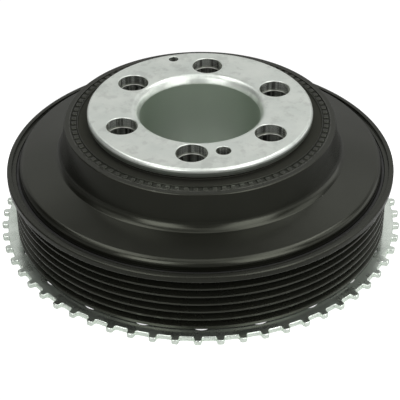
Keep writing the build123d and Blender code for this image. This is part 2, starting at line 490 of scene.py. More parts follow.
@dataclass(frozen=True)
class Hole:
    """A round hole through a plate, with its edges broken by the punch.

    Attributes:
        radius: Radius of its wall.
        circle: Radius of the circle it stands on.
        angle: Angle of that place, in degrees.
        count: How many there are, evenly spaced.
        edge: Radius of the rounding at both ends.
    """

    radius: float
    circle: float
    angle: float
    count: int = 1
    edge: float = 0.25

    STEPS = 72
    ARC_STEP = 22.5
    # The cutter runs past the plate's faces, and its flare ends a hair outside them.
    OVERSHOOT = 1.0
    SKIN = 0.002
    # A rounding a hair smaller than the edge keeps its ends apart from the corners beside it.
    ROUNDED_SHARE = 0.999

    def cutter(self, bottom: float, top: float, repeater: Repeater) -> Piece:
        """Return a closed solid that cuts the holes, flared at both faces of the plate.

        Args:
            bottom: Height of the plate's underside.
            top: Height of the plate's top.
            repeater: Tree that repeats the hole round the axis.

        Returns:
            An object with all the holes' cutters.
        """
        wide = self.radius + self.edge
        rounding = self.edge * self.ROUNDED_SHARE
        ends = (bottom - self.OVERSHOOT, top + self.OVERSHOOT)
        mouths = (bottom - self.SKIN, top + self.SKIN)
        corners = [
            Corner(0.0, ends[0]),
            Corner(wide, ends[0]),
            Corner(wide, mouths[0]),
            Corner(self.radius, mouths[0], rounding),
            Corner(self.radius, mouths[1], rounding),
            Corner(wide, mouths[1]),
            Corner(wide, ends[1]),
            Corner(0.0, ends[1]),
        ]
        name = "hole_cutter"
        outline = Outline(corners, closed=False, arc_step=self.ARC_STEP)
        cutter = turned(name, outline, self.STEPS, (self.circle, 0.0))
        blank = bpy.data.materials.get(name) or bpy.data.materials.new(name)
        return repeater.repeat(cutter, self.count, blank, self.angle, 360.0 / self.count)


def drill(piece: Piece, cutters: Sequence[Piece]) -> None:
    """Cut holes out of an object.

    Args:
        piece: The object, closed.
        cutters: Closed objects that are taken away from it and removed.
    """
    for cutter in cutters:
        cut = piece.modifiers.new("drill", "BOOLEAN")
        cut.operation = "DIFFERENCE"
        cut.solver = "EXACT"
        cut.object = cutter
    bake(piece)
    discard(*cutters)
    clean(piece.data)


# --- Finishes -----------------------------------------------------------------------------------


@dataclass(frozen=True)
class WearAndGlintRing:
    """A turned edge brightened in broken patches, by handling and by painted glints where the edge catches
    the lamps.

    Attributes:
        radius: Radius of the edge, in millimetres.
        height: Its height, in millimetres.
        width: How far the brightening spreads from it, in millimetres.
        share: Share of the edge that is brightened.
    """

    radius: float
    height: float
    width: float
    share: float


@dataclass(frozen=True)
class SurfaceAndShadeBand:
    """A turned stretch with another colour and surface than the rest of its piece; some stretches are painted
    shade and painted highlights.

    Attributes:
        inner: Its smaller radius, in millimetres.
        outer: Its larger radius, in millimetres.
        low: Where it starts, in millimetres over the wheel's underside.
        high: Where it ends.
        colour: Its colour.
        roughness: Its roughness.
        metallic: 1 where it is bare metal.
        painted_streak_colour: Colour of the stripes along the axis that paint the lamps' reflected bars, a
            painted reflection; the same as the rest where there are none.
    """

    inner: float
    outer: float
    low: float
    high: float
    colour: Colour
    roughness: float
    metallic: float
    painted_streak_colour: Colour | None = None


@dataclass(frozen=True)
class Finish:
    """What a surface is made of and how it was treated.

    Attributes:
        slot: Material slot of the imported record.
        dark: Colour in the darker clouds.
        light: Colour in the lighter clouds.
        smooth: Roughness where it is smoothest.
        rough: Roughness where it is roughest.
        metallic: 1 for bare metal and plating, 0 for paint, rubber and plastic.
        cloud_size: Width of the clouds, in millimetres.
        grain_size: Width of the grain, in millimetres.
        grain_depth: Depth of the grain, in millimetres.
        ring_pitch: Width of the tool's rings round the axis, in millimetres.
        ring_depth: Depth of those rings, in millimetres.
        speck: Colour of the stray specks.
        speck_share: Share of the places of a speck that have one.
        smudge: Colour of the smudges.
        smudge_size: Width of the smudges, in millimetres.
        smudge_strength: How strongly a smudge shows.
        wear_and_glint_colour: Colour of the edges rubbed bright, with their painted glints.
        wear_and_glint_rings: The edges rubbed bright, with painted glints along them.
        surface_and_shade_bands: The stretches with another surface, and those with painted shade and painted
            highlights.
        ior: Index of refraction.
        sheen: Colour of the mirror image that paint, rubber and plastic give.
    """

    slot: Slot
    dark: Colour
    light: Colour
    smooth: float
    rough: float
    metallic: float = 0.0
    cloud_size: float = 9.0
    grain_size: float = 0.35
    grain_depth: float = 0.004
    ring_pitch: float = 0.5
    ring_depth: float = 0.0
    speck: Colour = (0.3, 0.3, 0.29)
    speck_share: float = 0.0
    smudge: Colour = (0.3, 0.3, 0.29)
    smudge_size: float = 4.0
    smudge_strength: float = 0.0
    wear_and_glint_colour: Colour = (0.12, 0.12, 0.11)
    wear_and_glint_rings: tuple[WearAndGlintRing, ...] = ()
    surface_and_shade_bands: tuple[SurfaceAndShadeBand, ...] = ()
    ior: float = 1.5
    sheen: Colour = (1.0, 1.0, 1.0)


FINISHES = (
    Finish(
        Slot.ZINC_PLATE,
        dark=(0.81, 0.86, 0.80),
        light=(0.945, 0.99, 0.92),
        smooth=0.30,
        rough=0.38,
        metallic=0.8,
        cloud_size=11.0,
        grain_depth=0.003,
        speck=(0.35, 0.36, 0.34),
        speck_share=0.05,
        smudge=(0.52, 0.54, 0.50),
        smudge_size=5.0,
        smudge_strength=0.35,
        surface_and_shade_bands=(
            # Painted shade: the bore's inside wall is coloured darker and duller than the rest of the
            # plating.
            SurfaceAndShadeBand(-1.0, 24.3, -10.0, 49.3, (0.65, 0.715, 0.635), 0.40, 1.0),
            # The flange's hole walls: smoother plating, with darker stripes along the axis that paint the
            # lamps' reflected bars, a painted reflection.
            SurfaceAndShadeBand(26.5, 43.0, 48.9, 52.5, (0.88, 0.91, 0.86), 0.26, 0.85, (0.26, 0.27, 0.24)),
            # Painted shade: the flange's outer side is coloured darker than its top.
            SurfaceAndShadeBand(44.45, 45.0, 48.5, 51.1, (0.42, 0.46, 0.41), 0.40, 1.0),
        ),
    ),
    Finish(
        Slot.REAR_ZINC,
        dark=(0.52, 0.54, 0.51),
        light=(0.66, 0.68, 0.64),
        smooth=0.32,
        rough=0.46,
        metallic=1.0,
    ),
    Finish(
        Slot.WHEEL_ZINC,
        dark=(0.86, 0.94, 0.85),
        light=(0.92, 0.99, 0.91),
        smooth=0.22,
        rough=0.32,
        metallic=0.97,
        grain_depth=0.002,
    ),
    Finish(
        Slot.BLACK_COAT,
        dark=(0.0045, 0.0046, 0.0032),
        light=(0.0065, 0.0066, 0.0048),
        smooth=0.22,
        rough=0.26,
        cloud_size=14.0,
        grain_size=0.5,
        grain_depth=0.003,
        speck=(0.12, 0.12, 0.12),
        speck_share=0.04,
        wear_and_glint_colour=(0.06, 0.06, 0.055),
        # Edges of the cup and its foot brightened in patches: rubbing from handling, and painted glints along
        # those edges.
        wear_and_glint_rings=(
            WearAndGlintRing(53.6, 47.85, 0.45, 0.25),
            WearAndGlintRing(51.78, 48.08, 0.25, 0.7),
            WearAndGlintRing(57.9, 33.7, 0.3, 0.25),
        ),
        surface_and_shade_bands=(
            SurfaceAndShadeBand(43.0, 48.4, 47.3, 48.05, (0.036, 0.036, 0.030), 0.70, 0.70),
            # Painted shade: the floor of the pad groove is near black between the pads.
            SurfaceAndShadeBand(48.75, 51.25, 47.6, 48.0, (0.001, 0.001, 0.001), 0.50, 0.0),
            # The carrier's hole walls: uncoated metal, with darker stripes along the axis that paint the
            # lamps' reflected bars, a painted reflection.
            SurfaceAndShadeBand(27.0, 43.0, 45.0, 48.3, (0.60, 0.61, 0.57), 0.26, 0.9, (0.10, 0.10, 0.09)),
            # Painted highlight: the top of the carrier's holes under the flange is coloured as grey metal to
            # give the bright ledge line inside each hole.
            SurfaceAndShadeBand(27.0, 42.0, 48.4, 49.0, (0.36, 0.37, 0.34), 0.30, 1.0),
        ),
        ior=1.6,
        sheen=(0.96, 1.0, 0.82),
    ),
    Finish(
        Slot.BLACK_RING,
        dark=(0.0066, 0.0068, 0.0052),
        light=(0.0082, 0.0085, 0.0064),
        smooth=0.24,
        rough=0.30,
        grain_size=0.4,
        grain_depth=0.003,
        ior=1.55,
        sheen=(0.96, 1.0, 0.82),
    ),
    Finish(
        Slot.BONDED_RUBBER,
        dark=(0.012, 0.012, 0.012),
        light=(0.022, 0.021, 0.021),
        smooth=0.55,
        rough=0.75,
        grain_size=0.8,
        grain_depth=0.02,
    ),
    Finish(
        Slot.CAST_IRON,
        dark=(0.16, 0.155, 0.15),
        light=(0.26, 0.25, 0.24),
        smooth=0.40,
        rough=0.60,
        metallic=1.0,
        grain_size=0.6,
        grain_depth=0.012,
        ring_pitch=0.6,
        ring_depth=0.006,
    ),
    Finish(
        Slot.PHOSPHATED_STEEL,
        dark=(0.045, 0.047, 0.045),
        light=(0.075, 0.077, 0.074),
        smooth=0.45,
        rough=0.65,
        metallic=0.35,
        grain_size=0.3,
        grain_depth=0.006,
    ),
    Finish(
        Slot.BEARING_PLASTIC,
        dark=(0.018, 0.018, 0.017),
        light=(0.028, 0.028, 0.027),
        smooth=0.38,
        rough=0.50,
        grain_size=0.5,
        grain_depth=0.005,
    ),
    Finish(
        Slot.RIVET_STEEL,
        dark=(0.55, 0.56, 0.55),
        light=(0.68, 0.69, 0.68),
        smooth=0.26,
        rough=0.38,
        metallic=1.0,
        cloud_size=3.0,
    ),
)


class Sheet:
    """A shader node tree in the making, with helpers for its nodes and links."""

    # Numbers of a Mix node's two values and of its result, by the kind of value.
    MIX_SOCKETS = {"FLOAT": (2, 3, 0), "RGBA": (6, 7, 2)}

    def __init__(self, tree: Tree) -> None:
        """Work on a tree."""
        self.tree = tree

    def connect(self, value: object, socket: Socket) -> None:
        """Link an output to a socket, or set the socket to a plain value.

        Args:
            value: The output or the plain value.
            socket: The input socket.
        """
        if isinstance(value, Socket):
            self.tree.links.new(value, socket)
        else:
            socket.default_value = value

    def feed(self, node: bpy.types.Node, inputs: dict[str, object] | dict[int, object]) -> None:
        """Connect outputs or plain values to a node's inputs, by their names or numbers."""
        for socket, value in inputs.items():
            self.connect(value, node.inputs[socket])

    def node(
        self, kind: str, inputs: dict[str, object] | dict[int, object] | None = None, **settings: object
    ) -> bpy.types.Node:
        """Add a node.

        Args:
            kind: Its type.
            inputs: Outputs or plain values for its inputs, by their names or numbers.
            **settings: Its properties.

        Returns:
            The new node.
        """
        node = self.tree.nodes.new(kind)
        for name, value in settings.items():
            setattr(node, name, value)
        self.feed(node, inputs or {})
        return node

    def math(self, operation: str, *values: object) -> Socket:
        """Add a maths node and return its output."""
        return self.node("ShaderNodeMath", dict(enumerate(values)), operation=operation).outputs[0]

    def ramp(
        self, value: object, low: object, high: object, to_low: object = 0.0, to_high: object = 1.0
    ) -> Socket:
        """Add a smooth map of one range of values to another.

        Args:
            value: What is mapped.
            low: Value that gives to_low.
            high: Value that gives to_high.
            to_low: Result at the low end and below it.
            to_high: Result at the high end and above it.

        Returns:
            The mapped value.
        """
        inputs = {"Value": value, "From Min": low, "From Max": high, "To Min": to_low, "To Max": to_high}
        return self.node("ShaderNodeMapRange", inputs, interpolation_type="SMOOTHSTEP").outputs[0]

    def mix(self, share: object, one: object, other: object, kind: str = "RGBA") -> Socket:
        """Mix two colours, or two numbers.

        Args:
            share: 0 for the first, 1 for the second.
            one: The first.
            other: The second.
            kind: RGBA for colours and FLOAT for numbers.

        Returns:
            The mixed colour or number.
        """
        first, second, result = self.MIX_SOCKETS[kind]
        inputs = {0: share, first: one, second: other}
        return self.node("ShaderNodeMix", inputs, data_type=kind).outputs[result]

    def distance(self, across: object, along: object) -> Socket:
        """Return the distance between two places, from how far apart they are in two directions."""
        squares = self.math("ADD", self.math("POWER", across, 2.0), self.math("POWER", along, 2.0))
        return self.math("SQRT", squares)

    def split(self, place: object) -> list[Socket]:
        """Return the three coordinates of a place."""
        return list(self.node("ShaderNodeSeparateXYZ", {0: place}).outputs)

    def radius_and_height(self, place: object) -> tuple[Socket, Socket]:
        """Return a place's distance from the upright axis, and its height."""
        x, y, height = self.split(place)
        return self.distance(x, y), height


class EffectGroup(Sheet):
    """A shader node group in the making, which reads a place and puts out one value."""

    NOISE_MEAN = 0.5

    def __init__(self, name: str, output: str, **inputs: float) -> None:
        """Start the group.

        Args:
            name: The group's name.
            output: Name of its output.
            **inputs: Its number inputs, with their values to start from.
        """
        super().__init__(bpy.data.node_groups.new(name, "ShaderNodeTree"))
        sockets = self.tree.interface
        sockets.new_socket("Place", in_out="INPUT", socket_type="NodeSocketVector")
        for title, value in inputs.items():
            sockets.new_socket(title, in_out="INPUT", socket_type="NodeSocketFloat").default_value = value
        sockets.new_socket(output, in_out="OUTPUT", socket_type="NodeSocketFloat")
        self.given = {socket.name: socket for socket in self.node("NodeGroupInput").outputs}
        self.place = self.given["Place"]

    def noise(self, place: object, size: object, detail: float = 2.0, roughness: float = 0.5) -> Socket:
        """Add a noise texture and return its value.

        Args:
            place: Where it is read.
            size: Width of its largest features, in the unit of the place.
            detail: How many finer layers it has.
            roughness: How strong the finer layers are.

        Returns:
            The noise's value, about NOISE_MEAN.
        """
        scale = self.math("DIVIDE", 1.0, size)
        inputs = {"Vector": place, "Scale": scale, "Detail": detail, "Roughness": roughness}
        return self.node("ShaderNodeTexNoise", inputs).outputs[0]

    def finish(self, value: Socket) -> Tree:
        """Put out a value and return the group."""
        self.node("NodeGroupOutput", {0: value})
        return self.tree

    def finish_relief(self, place: object, size: object) -> Tree:
        """Put out the height of a noise relief, about 0 and as deep as the group's Depth."""
        level = self.math("SUBTRACT", self.noise(place, size), self.NOISE_MEAN)
        return self.finish(self.math("MULTIPLY", level, self.given["Depth"]))


class Effects:
    """The surface effects that more than one finish uses, each built once."""

    # WEAR_GLINT_PATCH is in millimetres; the spread, limit, reach, blend and range are parts of a noise's
    # values.
    CLOUD_NOISE = {"detail": 4.0, "roughness": 0.6}
    CLOUD_SPREAD = 0.22
    WEAR_GLINT_NOISE = {"detail": 3.0, "roughness": 0.65}
    WEAR_GLINT_PATCH = 2.5
    WEAR_GLINT_LIMIT = 0.75
    WEAR_GLINT_REACH = 0.5
    WEAR_GLINT_BLEND = 0.08
    REFLECTION_STREAK_RANGE = (0.38, 0.62)

    def __init__(self) -> None:
        """Build every group."""
        self.clouds = self._clouds()
        self.grain = self._grain()
        self.rings = self._rings()
        self.specks = self._specks()
        self.edge_wear_and_glints = self._edge_wear_and_glints()
        self.band = self._band()
        self.streaks = self._reflection_streaks()

    def _clouds(self) -> Tree:
        """Build soft clouds.

        Returns:
            The group, which puts out 0 to 1.
        """
        group = EffectGroup("clouds", "Value", Size=9.0, Contrast=1.0)
        broad = group.noise(group.place, group.given["Size"], **self.CLOUD_NOISE)
        level = group.math("SUBTRACT", broad, group.NOISE_MEAN)
        contrasted = group.math("MULTIPLY", level, group.given["Contrast"])
        return group.finish(group.ramp(contrasted, -self.CLOUD_SPREAD, self.CLOUD_SPREAD))

    def _grain(self) -> Tree:
        """Return fine grain, about 0."""
        group = EffectGroup("grain", "Height", Size=0.4, Depth=0.004)
        return group.finish_relief(group.place, group.given["Size"])

    def _rings(self) -> Tree:
        """Build rings round the axis, as a lathe's tool leaves them.

        Returns:
            The group, which puts out a height.
        """
        group = EffectGroup("tool_rings", "Height", Pitch=0.5, Depth=0.0)
        radius, height = group.radius_and_height(group.place)
        section = group.node("ShaderNodeCombineXYZ", {0: radius, 2: height})
        return group.finish_relief(section.outputs[0], group.given["Pitch"])

    def _specks(self) -> Tree:
        """Build small stray specks.

        Returns:
            The group, which puts out 1 on a speck and 0 elsewhere.
        """
        group = EffectGroup("specks", "Mask", Spacing=5.0, Radius=0.12, Share=0.1)
        scale = group.math("DIVIDE", 1.0, group.given["Spacing"])
        cells = group.node("ShaderNodeTexVoronoi", {"Vector": group.place, "Scale": scale}).outputs
        chance = group.node("ShaderNodeSeparateColor", {0: cells["Color"]}).outputs[0]
        reach = group.math("DIVIDE", group.given["Radius"], group.given["Spacing"])
        near = group.math("LESS_THAN", cells["Distance"], reach)
        has_speck = group.math("LESS_THAN", chance, group.given["Share"])
        return group.finish(group.math("MULTIPLY", near, has_speck))

    def _edge_wear_and_glints(self) -> Tree:
        """Build broken brightening along one turned edge: handling marks and painted glints.

        Returns:
            The group, which puts out 0 to 1.
        """
        group = EffectGroup("painted_glints_and_edge_wear", "Mask", Radius=50.0, Height=0.0, Width=0.4, Share=0.3)
        radius, height = group.radius_and_height(group.place)
        across = group.math("SUBTRACT", radius, group.given["Radius"])
        along = group.math("SUBTRACT", height, group.given["Height"])
        near = group.ramp(group.distance(across, along), 0.0, group.given["Width"], 1.0, 0.0)
        patches = group.noise(group.place, self.WEAR_GLINT_PATCH, **self.WEAR_GLINT_NOISE)
        drop = group.math("MULTIPLY", group.given["Share"], self.WEAR_GLINT_REACH)
        limit = group.math("SUBTRACT", self.WEAR_GLINT_LIMIT, drop)
        chosen = group.ramp(patches, limit, group.math("ADD", limit, self.WEAR_GLINT_BLEND))
        return group.finish(group.math("MULTIPLY", near, chosen))

    def _reflection_streaks(self) -> Tree:
        """Build stripes that run along the axis, painted reflections of the lamps' bars on a hole's wall.

        Returns:
            The group, which puts out 0 to 1.
        """
        group = EffectGroup("painted_reflection_streaks", "Value", Size=1.6)
        x, y, _ = group.split(group.place)
        flat = group.node("ShaderNodeCombineXYZ", {0: x, 1: y})
        lines = group.noise(flat.outputs[0], group.given["Size"])
        return group.finish(group.ramp(lines, *self.REFLECTION_STREAK_RANGE))

    def _band(self) -> Tree:
        """Build the mask of one turned stretch.

        Returns:
            The group, which puts out 1 inside it and 0 elsewhere.
        """
        group = EffectGroup("painted_shade_and_surface_band", "Mask", Inner=0.0, Outer=10.0, Low=0.0, High=10.0, Blend=0.15)
        radius, height = group.radius_and_height(group.place)
        limits = ((radius, "Inner", 1), (radius, "Outer", -1), (height, "Low", 1), (height, "High", -1))
        mask = None
        for value, edge, sense in limits:
            inside = group.math("MULTIPLY", group.math("SUBTRACT", value, group.given[edge]), sense)
            soft = group.math("ADD", group.math("DIVIDE", inside, group.given["Blend"]), 0.5)
            share = group.ramp(soft, 0.0, 1.0)
            mask = share if mask is None else group.math("MULTIPLY", mask, share)
        return group.finish(mask)


class FinishSheet(Sheet):
    """The node tree of one finish's material, in the making."""

    SMUDGE_START = 0.5

    def __init__(self, tree: Tree, finish: Finish, effects: Effects) -> None:
        """Read the object's own place, in millimetres.

        Args:
            tree: The material's node tree.
            finish: What the surface is like.
            effects: The shared effects.
        """
        super().__init__(tree)
        self.finish = finish
        self.effects = effects
        place = self.node("ShaderNodeTexCoord").outputs["Object"]
        scale = [1.0 / MILLIMETRE] * 3
        self.spot = self.node("ShaderNodeMapping", {"Vector": place, "Scale": scale}).outputs[0]

    def effect(self, group: Tree, **values: object) -> Socket:
        """Place an effect and return its output.

        Args:
            group: The effect.
            **values: Its inputs but the place, by name.

        Returns:
            The effect's output.
        """
        return self.node("ShaderNodeGroup", {"Place": self.spot} | values, node_tree=group).outputs[0]

    def dress(self) -> None:
        """Feed the material's shader."""
        finish = self.finish
        clouds = self.effect(self.effects.clouds, Size=finish.cloud_size)
        colour = self._colour(clouds)
        roughness = self.ramp(clouds, 0.0, 1.0, finish.rough, finish.smooth)
        metallic: object = finish.metallic
        # Each band's colour takes over inside it: some bands are another surface, and some are painted shade,
        # painted highlights and painted reflection stripes.
        for band in finish.surface_and_shade_bands:
            limits = {"Inner": band.inner, "Outer": band.outer, "Low": band.low, "High": band.high}
            inside = self.effect(self.effects.band, **limits)
            band_colour: object = rgba(band.colour)
            if band.painted_streak_colour is not None:
                band_colour = self.mix(self.effect(self.effects.streaks), band_colour, rgba(band.painted_streak_colour))
            colour = self.mix(inside, colour, band_colour)
            roughness = self.mix(inside, roughness, band.roughness, "FLOAT")
            metallic = self.mix(inside, metallic, band.metallic, "FLOAT")
        bump = self.node("ShaderNodeBump", {"Distance": MILLIMETRE, "Height": self._height()})
        inputs = {
            "Base Color": colour,
            "Roughness": roughness,
            "Metallic": metallic,
            "IOR": finish.ior,
            "Specular Tint": rgba(finish.sheen),
            "Normal": bump.outputs[0],
        }
        self.feed(self.tree.nodes["Principled BSDF"], inputs)

    def _colour(self, clouds: Socket) -> Socket:
        """Colour the surface outside its bands.

        Args:
            clouds: The output of its clouds.

        Returns:
            The colour.
        """
        finish = self.finish
        specks = self.effect(self.effects.specks, Share=finish.speck_share)
        colour = self.mix(clouds, rgba(finish.dark), rgba(finish.light))
        colour = self.mix(specks, colour, rgba(finish.speck))
        if finish.smudge_strength > 0:
            patches = self.effect(self.effects.clouds, Size=finish.smudge_size)
            smudges = self.ramp(patches, self.SMUDGE_START, 1.0, 0.0, finish.smudge_strength)
            colour = self.mix(smudges, colour, rgba(finish.smudge))
        # Edges brightened in patches: rubbing from handling, and painted glints.
        for ring in finish.wear_and_glint_rings:
            limits = {"Radius": ring.radius, "Height": ring.height, "Width": ring.width, "Share": ring.share}
            colour = self.mix(self.effect(self.effects.edge_wear_and_glints, **limits), colour, rgba(finish.wear_and_glint_colour))
        return colour

    def _height(self) -> Socket:
        """Add up the surface's reliefs.

        Returns:
            Their height, in millimetres.
        """
        finish = self.finish
        height = self.effect(self.effects.grain, Size=finish.grain_size, Depth=finish.grain_depth)
        if finish.ring_depth > 0:
            rings = self.effect(self.effects.rings, Pitch=finish.ring_pitch, Depth=finish.ring_depth)
            height = self.math("ADD", height, rings)
        return height


def rgba(colour: Colour) -> tuple[float, float, float, float]:
    """Return an opaque colour with its fourth value."""
    return (*colour, 1.0)


def new_material(name: str) -> Material:
    """Make a material with nodes.

    Args:
        name: The material's name.

    Returns:
        The new material.
    """
    material = bpy.data.materials.new(name)
    material.use_nodes = True
    return material


# --- Sub-assemblies -----------------------------------------------------------------------------


class Workshop:
    """What every sub-assembly is built with: each finish's material, and the repeater."""

    def __init__(self) -> None:
        """Build the materials and the repeater."""
        effects = Effects()
        self.materials: dict[Slot, Material] = {}
        for finish in FINISHES:
            material = new_material(finish.slot.value)
            FinishSheet(material.node_tree, finish, effects).dress()
            self.materials[finish.slot] = material
        self.repeater = Repeater()

    def hand_over(self, piece: Piece, slot: Slot, *nodes: Node, sharp_angle: float = 32.0) -> Piece:
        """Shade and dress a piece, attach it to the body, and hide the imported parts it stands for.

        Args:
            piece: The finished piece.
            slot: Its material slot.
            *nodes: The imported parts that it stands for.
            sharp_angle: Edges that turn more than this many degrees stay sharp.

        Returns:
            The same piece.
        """
        shade(piece, sharp_angle)
        paint(piece, self.materials[slot])
        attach(piece, BODY)
        if nodes:
            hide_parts(*(node.value for node in nodes))
        return piece


def heights(node: Node) -> Point:
    """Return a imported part's lowest and highest height, in millimetres."""
    low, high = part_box(node.value)
    return (low[2] / MILLIMETRE, high[2] / MILLIMETRE)


class SubAssembly(ABC):
    """A group of pieces that is built together."""

    @abstractmethod
    def build(self, shop: Workshop) -> list[Piece]:
        """Build, dress and hand over the pieces, and return them."""


@dataclass(frozen=True)
class BoltPattern:
    """The holes that the bolt flange and both bolt plates share."""

    bolts: Hole = Hole(radius=6.1, circle=33.2, angle=24.47, count=6, edge=0.35)
    dowel: Hole = Hole(radius=2.9, circle=32.8, angle=-74.5)
    drain: Hole = Hole(radius=1.95, circle=40.25, angle=105.7)


@dataclass
class HubSleeve(SubAssembly):
    """Plated pressing: the bolt flange, with a sleeve drawn down from its rolled bore."""

    bore_radius: float = 24.0
    wall: float = 2.2
    sleeve_end_rounding: float = 0.2
    lead_in: float = 0.8
    lip_depth: float = 3.4
    lip_angle: float = 68.0
    lip_rounding: float = 3.0
    lip_end_rounding: float = 2.5
    flange_radius: float = 44.6
    flange_thickness: float = 4.0
    flange_rounding: float = 1.3
    holes: BoltPattern = BoltPattern()

    def build(self, shop: Workshop) -> list[Piece]:
        """Turn the flange with its sleeve, then drill it.

        Args:
            shop: Where the materials and the repeater come from.

        Returns:
            The pieces handed over.
        """
        bottom, top = heights(Node.HUB_SLEEVE)
        under = top - self.flange_thickness
        outside = self.bore_radius + self.wall
        lip_mouth = self.bore_radius + self.lip_depth / math.tan(math.radians(self.lip_angle))
        corners = [
            Corner(self.bore_radius, bottom, self.sleeve_end_rounding),
            Corner(outside - self.lead_in, bottom, self.sleeve_end_rounding),
            Corner(outside, bottom + self.lead_in),
            Corner(outside, under),
            Corner(self.flange_radius, under, self.flange_rounding),
            Corner(self.flange_radius, top, self.flange_rounding),
            Corner(lip_mouth, top, self.lip_rounding),
            Corner(self.bore_radius, top - self.lip_depth, self.lip_end_rounding),
        ]
        piece = turned("bolt_flange", Outline(corners))
        pattern = (self.holes.bolts, self.holes.dowel, self.holes.drain)
        drill(piece, [hole.cutter(under, top, shop.repeater) for hole in pattern])
        return [shop.hand_over(piece, Slot.ZINC_PLATE, Node.HUB_SLEEVE)]


